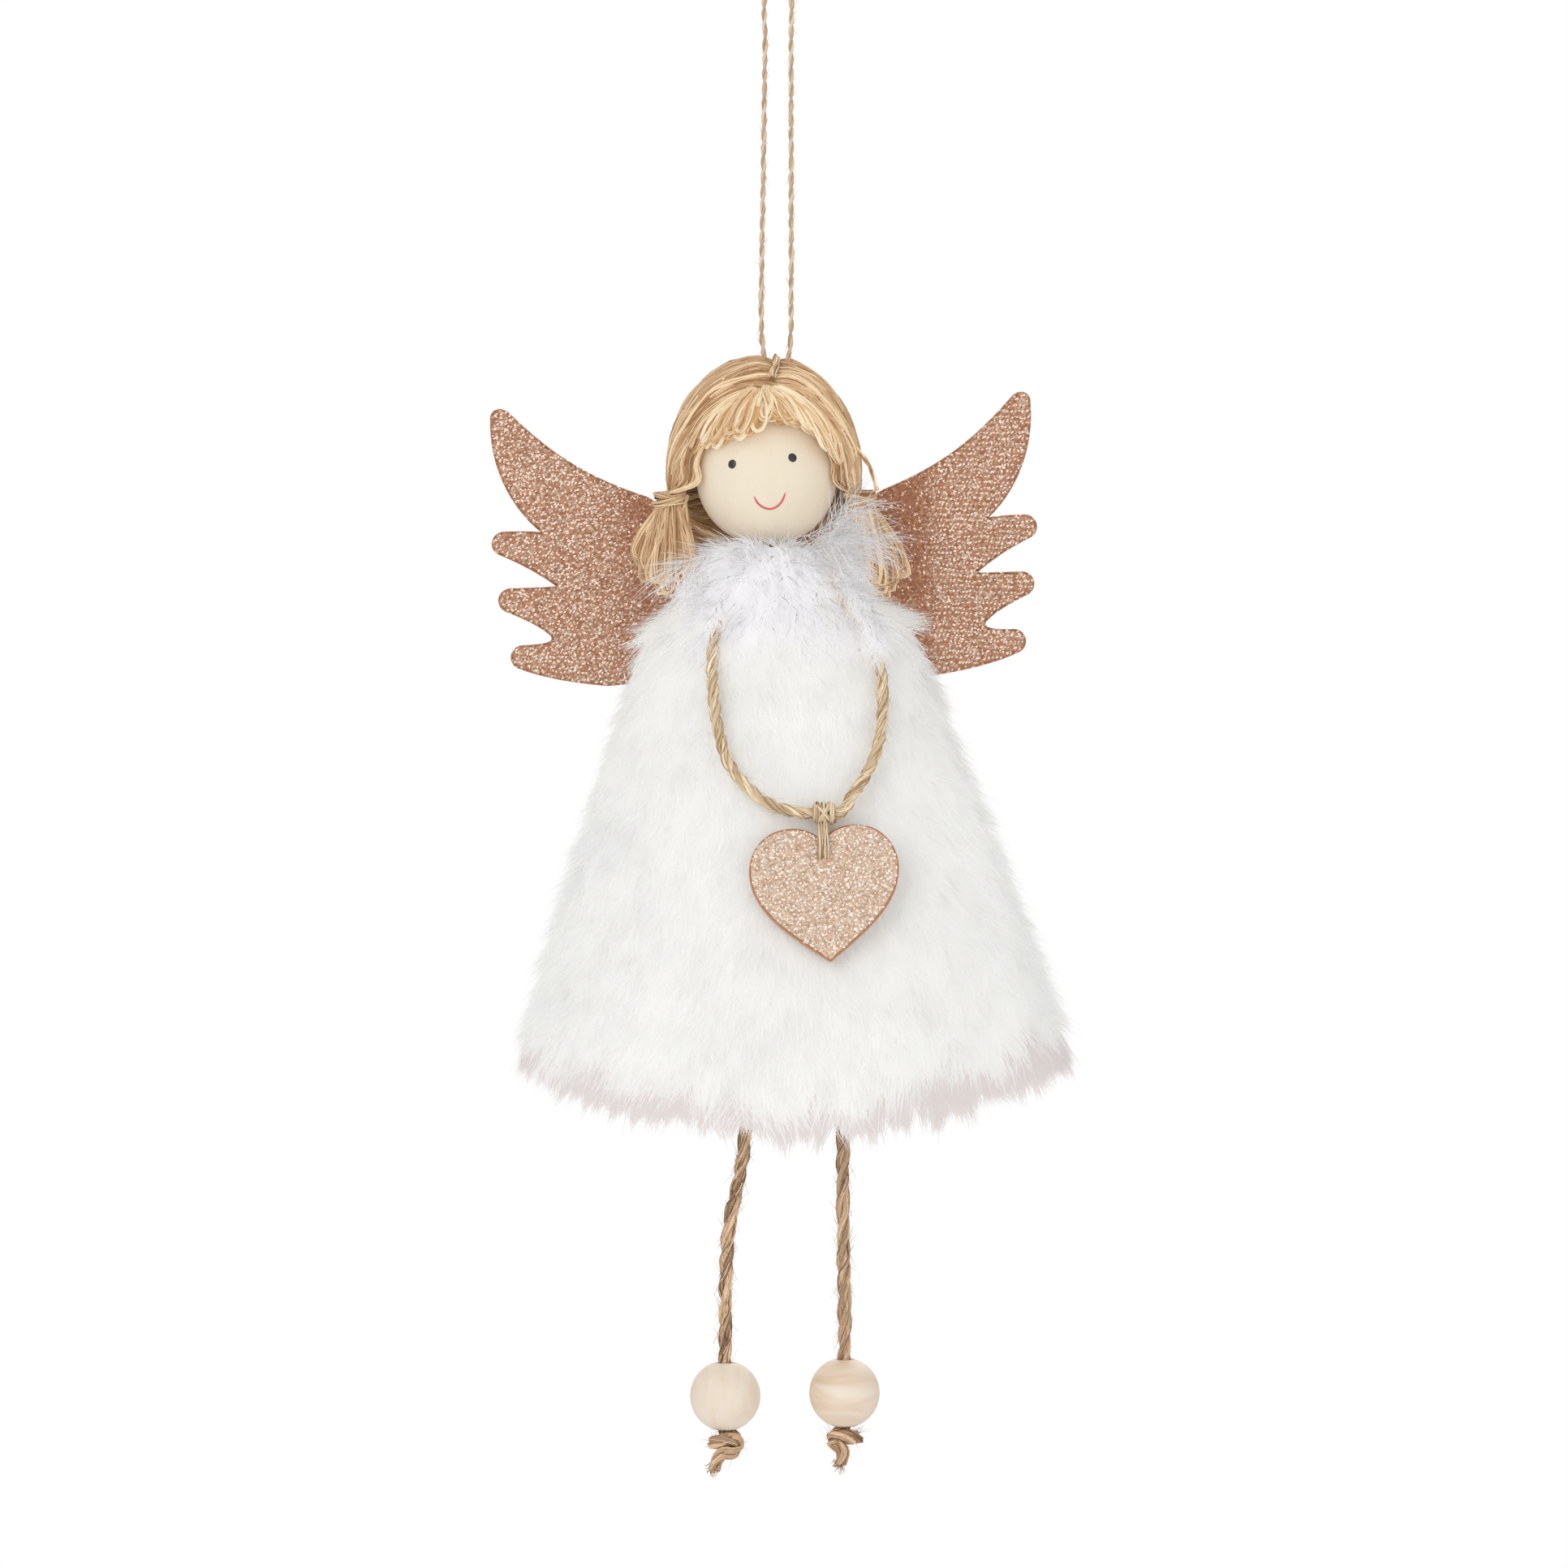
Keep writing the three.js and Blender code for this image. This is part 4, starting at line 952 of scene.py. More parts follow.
def make_fur():
    rng = np.random.default_rng(21)
    wide = np.array([0.12, 0.12, 0.09, 0.02])
    fine = np.array([0.08, 0.075, 0.055, 0.015])
    for name, count, widths, locks in (
        ("dress_pile", 2600, wide, (36, 7.6, 0.4, 0.9, 1.7, 0.85)),
        ("guard_hairs", 3000, fine, (30, 6.6, 0.66, 0.72, 1.3, 0.6)),
    ):
        angle, drop = clear_of_pigtail(*even_places(count, rng), rng)
        for number, chosen in enumerate(np.array_split(np.argsort(angle), 3)):
            fur_piece(f"{name}_{number + 1}", angle[chosen], drop[chosen], widths, FUR, rng, *locks)
    # Pile along the hem in the darker, pinker hem colour: painted shade at the hem.
    count = 470
    angle = np.linspace(0, 2 * np.pi, count, endpoint=False) + rng.normal(0, 0.014, count)
    fall = HEM_TILT * half_width(DRESS_LENGTH - HEM_RISE) * np.cos(angle)
    drop = hem_drop(angle, PILE_INSET) - rng.uniform(5.6, 9.4, count) + fall
    fur_piece("hem_pile", angle, drop, wide * 0.8, SHADED_HEM_FUR, rng, 56, 7.5, 0.26, 0.96, 1.0, 0.3)


# Feather collar


def before_wings(paths):
    """No plume reaches through the sheet of the wings behind the neck."""
    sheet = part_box("wings")[0].y / MM
    return np.minimum(paths, np.array([np.inf, sheet - 0.4, np.inf]))


def plumes(base, heading, length, droop, barbs, barb_length, curl, rng):
    """Plumes of down: a fine quill each, with soft barbs to both sides.

    Returns quills and barbs as paths.
    """
    count = len(base)
    down = np.array([0, 0, -1.0])
    tip = base + length * heading + down * length * droop
    bend = base + 0.5 * length * unit(heading + np.array([0, 0, 0.3]))
    base, bend, tip = base[:, None], bend[:, None], tip[:, None]
    quills = quadratic(base, bend, tip, np.linspace(0, 1, 7)[None, :, None])
    share = np.linspace(0.1, 1.0, barbs)[None, :, None]
    starts = quadratic(base, bend, tip, share)
    forward = unit(2 * (1 - share) * (bend - base) + 2 * share * (tip - bend))
    outward = unit(starts - COLLAR_HEART)
    across = unit(np.cross(forward, outward + rng.normal(0, 0.35, (count, 1, 3))))
    fullness = 0.55 + 0.55 * np.sin(np.pi * (0.1 + 0.8 * share))
    along_barb = np.linspace(0, 1, 4)[None, None, :, None]
    every = []
    for hand in (-1.0, 1.0):
        shape = (count, barbs, 1)
        lean = unit(0.8 * forward + hand * 0.75 * across + rng.normal(0, 0.22, (count, barbs, 3)))
        size = barb_length * rng.uniform(0.6, 1.15, shape) * fullness
        ends = starts + size * lean + down * size * rng.uniform(0.0, 0.3, shape)
        ends = ends + curl * size * forward
        bends = starts + 0.5 * size * unit(lean + rng.normal(0, 0.18, (count, barbs, 3)))
        paths = quadratic(starts[:, :, None], bends[:, :, None], ends[:, :, None], along_barb)
        every.append(paths.reshape(-1, 4, 3))
    return before_wings(quills), before_wings(np.concatenate(every))


def down_piece(name, paths, widths, rng, *stands_for):
    """Barbs or quills as one mesh, shaded as the soft round collar that they make up together."""
    outward = unit((paths.mean(axis=1) - COLLAR_HEART) * np.array([1.0, 1.0, 0.4]))
    facing = unit(outward + rng.normal(0, 0.3, outward.shape))
    shading = outward + 0.3 * facing + np.array([0.0, 0.0, 0.32])
    ribbon_piece(name, paths, widths, facing, shading, DOWN, "feathers", rng, *stands_for)


def make_collar_core():
    """The dense middle of the collar, a soft lumpy ring that the plumes grow from."""
    around = np.linspace(0, 2 * np.pi, 56, endpoint=False)[:, None]
    across = np.linspace(0, 2 * np.pi, 20, endpoint=False)[None, :]
    front = np.clip(-np.sin(around), 0, 1)
    lumps = 0.25 * np.sin(7 * around + 2 * across) + 0.2 * np.sin(11 * around - 3 * across)
    radius = 3.0 + 0.7 * front + lumps
    out = radius * np.cos(across)
    rise = 0.9 * radius * np.sin(across) - 102.4 - 0.8 * front
    x = HEAD[0] + (COLLAR_HALF_W + out) * np.cos(around)
    y = COLLAR_Y + (COLLAR_HALF_D + out) * np.sin(around)
    part = skin(np.stack([x, y, rise], axis=-1), closed_rows=True)
    add_piece("collar_core", part, DOWN_CORE, "torso", "feathers")


def ring_plumes(rng):
    """Plumes all round the neck, shorter on the left and pressed down under the right pigtail."""
    count = 800
    around = rng.uniform(0, 2 * np.pi, count)
    under_pigtail = np.cos(around) > 0.6
    rise = np.where(under_pigtail, rng.uniform(-75, -45, count), rng.uniform(-70, 0, count))
    rise = np.radians(rise)
    right = np.clip(np.cos(around), 0, 1)
    left = np.clip(-np.cos(around), 0, 1)
    height = -101.2 + rng.uniform(-2.6, 2.2, count) - 0.8 * left
    x = HEAD[0] + COLLAR_HALF_W * np.cos(around)
    y = COLLAR_Y + COLLAR_HALF_D * np.sin(around)
    level = np.cos(rise)
    heading = np.stack([np.cos(around) * level, np.sin(around) * level, np.sin(rise)], axis=-1)
    heading = unit(heading + rng.normal(0, 0.14, (count, 3)))
    shorter = 1 - 0.78 * left**2 - np.where(under_pigtail, 0.55, 0.2 * right)
    length = (rng.uniform(6.5, 12.5, count) * shorter)[:, None]
    return plumes(np.stack([x, y, height], axis=-1), heading, length, 0.16, 24, 4.6, 0.1, rng)


def loose_plumes(rng):
    """A spray to the viewer's right and wisps to the left."""
    spray = 24
    lift = np.radians(rng.uniform(-12, 64, spray))
    forward = rng.uniform(-0.55, -0.1, spray)
    right_heading = unit(np.stack([np.cos(lift), forward, np.sin(lift)], axis=-1))
    right_box = ((3, 9), (-10, -4), (-103, -97.5))
    right_base = np.stack([rng.uniform(*span, spray) for span in right_box], axis=-1)
    wisps = 8
    fall = np.radians(rng.uniform(-52, 12, wisps))
    forward = rng.uniform(-0.6, -0.25, wisps)
    left_heading = unit(np.stack([-np.cos(fall), forward, np.sin(fall)], axis=-1))
    left_box = ((-10.5, -5.5), (-11, -7), (-106, -100))
    left_base = np.stack([rng.uniform(*span, wisps) for span in left_box], axis=-1)
    base = np.concatenate([right_base, left_base])
    heading = np.concatenate([right_heading, left_heading])
    length = rng.uniform(7.5, 12.5, (spray + wisps, 1))
    return plumes(base, heading, length, 0.1, 13, 7.0, 0.28, rng)


def bib_plumes(rng):
    """Plumes that hang from the collar over the chest."""
    count = 150
    x = rng.uniform(-11.5, 16.5, count)
    z = -104.5 - 0.42 * np.abs(x - 1.0) + rng.uniform(-3.6, 0.6, count)
    base = np.array([on_fur(*place) for place in zip(x, z)]) + np.array([0.0, 0.6, 0.0])
    heading = np.stack([0.03 * (x - 2), np.full(count, -0.36), np.full(count, -1.0)], axis=-1)
    heading = unit(heading + rng.normal(0, 0.14, (count, 3)))
    length = rng.uniform(4.5, 8.0, (count, 1))
    return plumes(base, heading, length, 0.1, 20, 4.2, 0.1, rng)


def edge_plumes(rng):
    """Plumes that start just above the necklace rope and fall over it along the shoulders."""
    count = 240
    front = necklace_path()
    covered_to = np.where(front[:, 0] > 0, -116.5, -112.5)
    rope = np.concatenate([neck_rope_path(), front[front[:, 2] > covered_to]])
    place = rope[rng.integers(0, len(rope), count)]
    drop = np.maximum(NECK_Z - place[:, 2], 2.0)
    angle = np.arctan2(place[:, 1] / half_depth(drop), (place[:, 0] - DRESS_X) / half_width(drop))
    _, out, down, _ = dress_axes(angle, drop, 0.0)
    base = place + 1.6 * out - 3.2 * down + rng.normal(0, 0.5, place.shape)
    heading = unit(down + 0.22 * out + rng.normal(0, 0.16, place.shape))
    length = rng.uniform(4.8, 7.4, (count, 1))
    return plumes(base, heading, length, 0.1, 18, 3.8, 0.1, rng)


def make_collar():
    """Marabou: a ring of plumes round the neck, a loose spray, a bib and an edge over the rope."""
    rng = np.random.default_rng(31)
    soft = np.array([0.09, 0.085, 0.065, 0.02])
    wispy = np.array([0.07, 0.065, 0.05, 0.016])
    make_collar_core()
    quills, barbs = ring_plumes(rng)
    first, second = np.array_split(barbs, 2)
    down_piece("collar_down_1", first, soft, rng, "feather_collar")
    down_piece("collar_down_2", second, soft, rng)
    every = [quills]
    for name, grown, widths in (
        ("collar_spray", loose_plumes, wispy),
        ("collar_bib", bib_plumes, soft * 0.9),
        ("collar_edge", edge_plumes, soft * 0.9),
    ):
        quills, barbs = grown(rng)
        down_piece(name, barbs, widths, rng)
        every.append(quills)
    down_piece("collar_quills", np.concatenate(every), 0.06 * np.linspace(1, 0.3, 7), rng)


# Head: bead, painted face and jute hair

EYES = {"left": (-7.92, -85.05), "right": (2.63, -83.95)}
EYE_R = 0.82
SMILE = [
    (-4.1, -90.7), (-3.35, -91.95), (-2.2, -92.7), (-1.1, -92.85), (0.1, -92.3), (0.9, -91.3),
    (1.35, -90.1),
]


def on_face(x, z, lift=0.0):
    radius = HEAD_D / 2 + lift
    dx, dz = x - HEAD[0], z - HEAD[2]
    return np.array([x, HEAD[1] - math.sqrt(max(radius**2 - dx**2 - dz**2, 0.0)), z])


def eye_part(place, radius):
    """A drop of paint on the bead: a low dome with a round rim."""
    out = unit(place - HEAD)
    across = unit(np.cross(out, [0, 0, 1.0]))
    up = np.cross(across, out)
    rings = []
    for share in (1.0, 0.92, 0.75, 0.5, 0.25, 0.02):
        height = 0.16 * math.sqrt(max(1 - share**2, 0.0)) - 0.03
        flat = radius * share * round_about(turns(28), across, up)
        rings.append(HEAD + unit(place + flat - HEAD) * (HEAD_D / 2 + height))
    return skin(np.array(rings))


def make_head():
    rng = np.random.default_rng(41)
    bead = bead_part(HEAD, HEAD_D, HEAD_BORE_D, 0.5)
    add_piece("wooden_head", bead, HEAD_WOOD, "head", "head_wood", "head_bead")
    for side, place in EYES.items():
        add_piece(f"{side}_eye", eye_part(on_face(*place), EYE_R), EYE_PAINT, "head", "head_wood")
    path = spline([on_face(x, z, 0.01) for x, z in SMILE], 0.2)
    radii = 0.17 * thin_ends(len(path), 0.45, 5)
    stroke = tubes(path[None], radii[None], 8, np.array([0, -1.0, 0]), rng)
    add_piece("smile", stroke, SMILE_PAINT, "head", "head_wood")


# Pigtails: where each is tied, and where its locks end
PIGTAILS = {
    "left": {
        "tie": (-18.95, 0.0, -90.8),
        "ends": [
            (-25.0, -0.4, -102.4), (-24.3, -1.9, -104.4), (-22.8, -3.2, -106.2), (-21.0, -4.2, -107.6),
            (-19.2, -5.0, -109.6), (-17.2, -5.6, -110.0), (-15.6, -5.8, -109.6), (-14.5, -5.4, -107.4),
        ],
    },
    "right": {
        "tie": (14.4, 0.2, -90.8),
        "ends": [
            (22.6, 2.6, -103.4), (22.2, 1.0, -105.6), (21.0, 0.2, -107.4), (19.4, 0.0, -109.6),
            (17.6, 0.4, -110.0), (16.0, 1.2, -108.4), (14.6, 2.2, -107.0), (13.4, 3.2, -105.4),
        ],
    },
}
TIE_TURNS = [(-1.0, 2.35, 0.1), (0.1, 2.55, -0.16), (1.0, 2.3, 0.2), (-0.3, 2.7, 0.32)]
STRAY_STRAND = [(13.9, -2.0, -81.8), (15.2, -2.6, -83.6), (16.6, -2.8, -86.2), (17.5, -2.6, -89.4)]
FRINGE_GATHER = (-2.4, -71.8)
FRINGE_LINES = [
    [
        (-14.7, -83.2), (-12.8, -82.0), (-10.9, -81.3), (-9.0, -80.9), (-7.3, -80.6), (-5.4, -80.2),
        (-3.7, -79.7), (-2.5, -78.9),
    ],
    [
        (-0.6, -78.2), (1.2, -78.0), (3.0, -78.2), (4.7, -78.9), (6.3, -79.7), (7.7, -80.8), (8.9, -82.0),
        (9.9, -83.4), (10.5, -85.0),
    ],
]


def gathered_at(sign):
    """Where the hank is drawn together on one side, in shares of its half sizes."""
    tie = np.array([HEAD[0] - 0.55 + sign * TIE_OUT, 0.3, HEAD[2] - 3.6])
    return (tie - HAIR_CENTRE) / HAIR_HALF


def arc(start, end, steps):
    """Even steps along the great circle between unit vectors (n, 3) and (3,)."""
    angle = np.arccos(np.clip((start * end).sum(-1), -1, 1))[:, None]
    t = np.linspace(0, 1, steps)[None, :]
    weight_start = np.sin((1 - t) * angle) / np.sin(angle)
    weight_end = np.sin(t * angle) / np.sin(angle)
    return weight_start[..., None] * start[:, None] + weight_end[..., None] * end


def hair_over_head(sign, rng):
    """Locks from the parting, over the side of the head, into the pigtail's tie.

    The front edge of the hank is several locks deep, down to the wood.
    """
    tie = gathered_at(sign)
    fibres, steps = 7, 20
    outside, inside_edge = 116, 46
    outer = np.linspace(-37, 118, outside) + rng.normal(0, 2.4, outside)
    edge = rng.uniform(-38, -22, inside_edge)
    from_front = np.radians(np.concatenate([outer, edge]))
    layer = np.concatenate([rng.uniform(-0.055, 0.015, outside), rng.uniform(-0.22, -0.03, inside_edge)])
    locks = len(from_front)
    parting = (PARTING_X - HAIR_CENTRE[0]) / HAIR_HALF[0]
    start = np.stack([np.full(locks, parting), np.sin(from_front), np.cos(from_front)], axis=-1)
    start = np.repeat(start, fibres, axis=0)
    start = unit(start + rng.normal(0, 0.017, start.shape))
    way = arc(start, unit(tie), steps)
    count = len(start)
    t = np.linspace(0, 1, steps)[None, :]
    free = np.sin(np.pi * np.clip(t, 0, 1)) ** 0.5
    across = unit(np.cross(way, np.gradient(way, axis=1)))

    def waves(size, per_lock):
        number = locks if per_lock else count
        phase = rng.uniform(0, 1, (number, 1))
        rounds = rng.uniform(0.8, 2.6, (number, 1))
        wave = size * rng.uniform(0.3, 1, (number, 1)) * np.sin(2 * np.pi * (t * rounds + phase))
        return np.repeat(wave, fibres, axis=0) if per_lock else wave

    sideways = (waves(0.045, True) + waves(0.014, False)) * free
    raised = waves(0.018, True) + waves(0.012, False)
    depth = np.repeat(layer, fibres)[:, None] + rng.normal(0, 0.01, (count, 1))
    crown = -0.035 * np.exp(-((t / 0.07) ** 2))
    reach = np.linalg.norm(tie)
    gathered = 1 + (depth + raised * free) * (1 - t**4) + crown + (reach - 1) * t**6
    paths = HAIR_CENTRE + HAIR_HALF * (way + sideways[..., None] * across) * gathered[..., None]
    rows = np.repeat(rng.integers(0, TONE_ROWS, locks), fibres)
    rows = np.where(rng.uniform(0, 1, count) < 0.35, rng.integers(0, TONE_ROWS, count), rows)
    return paths, unit(way / HAIR_HALF), rows


def hank_part(sign, rng, size=1.0):
    """One side of the hank, or with a smaller size the inside of it."""
    paths, outward, rows = hair_over_head(sign, rng)
    if size != 1.0:
        paths = HAIR_CENTRE + size * (paths - HAIR_CENTRE)
    return fibre_part(paths, outward, 0.2, 0.7, rng, rows)


def under_hair():
    """A closed layer of fibre under the locks, so that no scalp shows between them; its darker jute is
    painted shade between the locks.
    """
    count, steps = 30, 13
    angles = np.radians(np.linspace(-36, 118, count))
    start = unit(np.stack([np.zeros(count), np.sin(angles), np.cos(angles)], axis=-1))
    left = arc(start, unit(gathered_at(-1)), steps)
    right = arc(start, unit(gathered_at(1)), steps)
    way = np.concatenate([left[:, :0:-1], right], axis=1)
    points, faces, _ = skin(HAIR_CENTRE + HAIR_HALF * UNDER_HAIR * way, closed_columns=False)
    u, v = np.meshgrid(np.linspace(0.01, 0.99, way.shape[1]), np.linspace(0.01, 0.99, count))
    return points, faces, np.stack([u, v], axis=-1).reshape(-1, 2)


def cheek_locks(rng):
    """Locks that run down beside the face, from under the fringe into the ties, and one stray strand."""
    paths = []
    for sign, facts in ((-1, PIGTAILS["left"]), (1, PIGTAILS["right"])):
        tie = np.array(facts["tie"])
        for _ in range(26):
            depth = rng.uniform(-6.5, 1.5)
            out = rng.uniform(0.5, 2.6)
            points = []
            for height in (9.5, 6.0, 2.0, -1.2):
                level = math.sqrt(max((HEAD_D / 2 + out) ** 2 - height**2 - depth**2, 4.0))
                x = HEAD[0] + sign * level
                points.append((x + rng.normal(0, 0.2), HEAD[1] + depth, HEAD[2] + height))
            points.append(tie + np.array([-sign * rng.uniform(0, 1.2), 0.3 * depth, 1.0]))
            paths.append(resample(spline(points, 0.4), 30))
    paths.append(resample(spline(STRAY_STRAND, 0.4), 30))
    return locks_part(paths, 6, 0.34, 0.17, rng)


def make_hair():
    rng = np.random.default_rng(51)
    for side, sign in (("left", -1), ("right", 1)):
        airy(add_piece(f"{side}_hair", hank_part(sign, rng), HAIR, "head", "hair"))
    inner = hank_part(-1, np.random.default_rng(55), INNER_HAIR)
    airy(add_piece("inner_hair", inner, HAIR, "head", "hair"))
    add_piece("hair_underside", under_hair(), HAIR_PAINTED_SHADE, "head", "hair", "hair_cap")
    airy(add_piece("cheek_locks", cheek_locks(rng), HAIR, "head", "hair"))


def folded_lock(start, end, width, outward, bulge=0.0):
    """A lock that runs out from its tie, turns over at the end and comes back beside itself."""
    start, end, outward = np.array(start), np.array(end), np.array(outward)
    line = end - start
    side = unit(np.cross(line, outward))
    out = unit(outward)
    points = [
        start - side * 0.12 * width,
        start + 0.4 * line - side * 0.42 * width + out * bulge,
        start + 0.78 * line - side * 0.55 * width + out * bulge * 0.8,
        start + 0.97 * line - side * 0.3 * width + out * 0.15,
        end + side * 0.02 * width,
        start + 0.96 * line + side * 0.34 * width - out * 0.2,
        start + 0.76 * line + side * 0.5 * width + out * bulge * 0.4,
        start + 0.4 * line + side * 0.34 * width + out * bulge * 0.5,
        start + side * 0.12 * width,
    ]
    return resample(spline(points, 0.3), 30)


def make_fringe():
    """Folded locks that fan out over the forehead to both sides of a narrow gap."""
    rng = np.random.default_rng(52)
    paths = []
    for line in FRINGE_LINES:
        for layer, number in ((0.7, 14), (1.7, 13), (2.7, 11)):
            root_lift = 3.4 + 0.4 * layer
            for x, _, z in resample(np.array([(x, 0, z) for x, z in line]), number):
                root_x = FRINGE_GATHER[0] + 0.2 * (x - FRINGE_GATHER[0]) + rng.normal(0, 0.3)
                root_z = FRINGE_GATHER[1] + rng.uniform(-0.5, 0.4)
                start = on_face(root_x, root_z, root_lift)
                end_x = x + rng.normal(0, 0.5)
                end_z = z + rng.normal(0, 0.45) + 0.35 * layer
                end = on_face(end_x, end_z, layer)
                out = unit((start + end) / 2 - HEAD)
                flat = folded_lock(start, end, rng.uniform(1.4, 2.6), out)
                reach = 1 - np.abs(np.linspace(0, 2, len(flat)) - 1)
                bow = rng.uniform(0.7, 1.9)
                radius = HEAD_D / 2 + np.interp(reach, [0, 0.55, 1], [root_lift, layer + bow, layer])
                paths.append(HEAD + unit(flat - HEAD) * radius[:, None])
    part = locks_part(paths, 7, 0.4, 0.17, rng)
    # The fringe takes the lighter jute, painted light.
    airy(add_piece("jute_fringe", part, LIT_FRINGE_HAIR, "head", "hair", "hair_fringe"))


def make_pigtails():
    rng = np.random.default_rng(53)
    turn = np.linspace(0, 2 * np.pi * 1.25, 46)
    for side, facts in PIGTAILS.items():
        tie = np.array(facts["tie"])
        ends = resample(np.array(facts["ends"]), 15)
        paths = []
        for depth in (-1.3, -0.2, 0.9):
            for end in ends:
                start = tie + np.array([rng.normal(0, 0.8), 0.5 * depth + rng.normal(0, 0.35), 0.8])
                shorter = 1 - 0.05 * abs(depth) - rng.uniform(0, 0.13)
                aim = tie + (end + np.array([0, 1.3 * depth, 0]) - tie) * shorter
                aim = aim + rng.normal(0, 0.4, 3)
                paths.append(folded_lock(start, aim, rng.uniform(1.6, 3.0), (0, -1.0, 0), bulge=0.6))
        part = locks_part(paths, 8, 0.42, 0.14, rng)
        airy(add_piece(f"{side}_pigtail_locks", part, HAIR, "head", "hair", f"{side}_pigtail"))
        wraps = []
        for height, radius, slope in TIE_TURNS:
            first = rng.uniform(0, 2 * np.pi)
            x = radius * np.cos(turn + first)
            y = 0.95 * radius * np.sin(turn + first)
            rise = height + slope * x + 0.25 * np.sin(turn)
            wraps.append(tie + np.stack([x, y, rise], axis=-1))
        part = locks_part(wraps, 12, 0.5, 0.15, rng)
        add_piece(f"{side}_pigtail_wrap", part, HAIR, "head", "hair", f"{side}_pigtail_tie")


def make_crown_tie():
    rng = np.random.default_rng(54)
    points = []
    for y in (-6.6, -5.4, -3.6, -1.0, 1.0, 3.0, 5.0, 7.0, 9.0):
        share = (y - HAIR_CENTRE[1] + HEAD[1]) / HAIR_HALF[1]
        height = HAIR_CENTRE[2] + HAIR_HALF[2] * math.sqrt(1 - share**2)
        points.append((PARTING_X - 0.25 * max(0.0, -3.0 - y), y, height + 0.3))
    part = fibre_part(*bundle(spline(points, 0.4), 20, 0.5, rng), 0.16, 0.6, rng)
    add_piece("crown_tie_jute", part, HAIR, "head", "hair", "crown_tie")


# Flat glitter pieces: wings and heart


class Outline:
    """A flat outline drawn with curved and round strokes."""

    def __init__(self, x, y):
        self.points = [(x, y)]

    def curve(self, *controls, steps=14):
        pts = np.array([self.points[-1], *controls])
        for t in np.linspace(0, 1, steps + 1)[1:]:
            work = pts
            while len(work) > 1:
                work = (1 - t) * work[:-1] + t * work[1:]
            self.points.append(tuple(work[0]))

    def round(self, x, y, radius, first, last, steps=10):
        for angle in np.radians(np.linspace(first, last, steps + 1)):
            self.points.append((x + radius * math.cos(angle), y + radius * math.sin(angle)))

    def mirrored(self, nearest=0.05):
        """Both halves as one loop, without points that lie too close together."""
        right = np.array(self.points)
        kept = []
        for point in np.vstack([right, right[-2:0:-1] * (-1, 1)]):
            if not kept or np.linalg.norm(point - kept[-1]) > nearest:
                kept.append(point)
        return np.array(kept)


def wing_outline():
    s, h = WING_HALF_SPAN, WING_HEIGHT
    feather_r, wing_tip_r = 2.2, 1.7
    wing = Outline(0, 0.02 * h)
    wing.curve((0.16 * s, 0.04 * h), (0.28 * s, 0.21 * h), (0.43 * s, 0.277 * h))
    wing.curve((0.66 * s, 0.36 * h), (0.78 * s, 0.45 * h), (0.925 * s, 0.6 * h))
    wing.round(0.953 * s, 0.575 * h, wing_tip_r, 130, 10)
    wing.curve((1.0 * s, 0.42 * h), (0.935 * s, 0.26 * h), (0.815 * s, 0.16 * h))
    for tip_x, tip_y, notch_x, notch_y in (
        (0.952, 0.127, 0.772, -0.03),
        (0.935, -0.076, 0.805, -0.2),
        (0.897, -0.28, 0.6, -0.392),
    ):
        x, y = tip_x * s, tip_y * h
        wing.curve((x - 3 * feather_r, y + feather_r), (x, y + feather_r))
        wing.round(x, y, feather_r, 90, -60)
        wing.curve((x - 2 * feather_r, y - 2 * feather_r), (notch_x * s, notch_y * h))
    wing.curve((0.3 * s, -0.38 * h), (0, -0.33 * h))
    return wing.mirrored()


def heart_outline():
    w, h = HEART_HALF_W, HEART_H
    heart = Outline(0, 0)
    heart.curve((0.16 * w, 0.11 * h), (0.4 * w, 0.115 * h), (0.57 * w, 0.095 * h))
    heart.curve((0.86 * w, 0.06 * h), (1.02 * w, -0.1 * h), (1.0 * w, -0.24 * h))
    heart.curve((0.97 * w, -0.5 * h), (0.55 * w, -0.68 * h), (0, -0.9 * h))
    return heart.mirrored()


def inset_outline(points, inset):
    ahead = np.roll(points, -1, axis=0) - np.roll(points, 1, axis=0)
    return points + inset * unit(np.stack([ahead[:, 1], -ahead[:, 0]], axis=-1))


def sheet_part(points, thickness, edge):
    """A flat sheet with softened edges, as triangles; front at y = 0, back at y = thickness.

    Returns its points, its faces and how many of them, the first, make up the rim.
    """
    layers = [(edge, 0.0), (0.3 * edge, 0.3 * edge), (0.0, edge)]
    layers += [(0.0, thickness - edge), (0.3 * edge, thickness - 0.3 * edge), (edge, thickness)]
    rings = []
    for inset, depth in layers:
        flat = inset_outline(points, inset)
        rings.append(np.stack([flat[:, 0], np.full(len(flat), depth), flat[:, 1]], axis=-1))
    count = len(points)
    sides = flipped(grid_faces(len(rings), count))
    rim = np.vstack([sides[:, [0, 1, 2]], sides[:, [0, 2, 3]]])
    flat = [Vector((x, z, 0.0)) for x, z in inset_outline(points, edge)]
    cap = np.array(geometry.tessellate_polygon([flat]))
    caps = np.vstack([cap, cap[:, ::-1] + (len(rings) - 1) * count])
    return np.vstack(rings), np.vstack([rim, caps]), len(rim)


def inside(points, places):
    """Those of the places that lie inside an outline, a little way off its edge."""
    points = inset_outline(points, 0.3)
    within = np.zeros(len(places), dtype=bool)
    x, y = places[:, 0], places[:, 1]
    for (x1, y1), (x2, y2) in zip(points, np.roll(points, -1, axis=0)):
        crosses = (y1 > y) != (y2 > y)
        at = (x2 - x1) * (y - y1) / (y2 - y1 + 1e-12) + x1
        within ^= crosses & (x < at)
    return places[within]


def scattered(points, per_area, rng):
    """Places spread at random over an outline, so many to a square millimetre."""
    low, high = points.min(axis=0), points.max(axis=0)
    return inside(points, rng.uniform(low, high, (int(per_area * np.prod(high - low)), 2)))


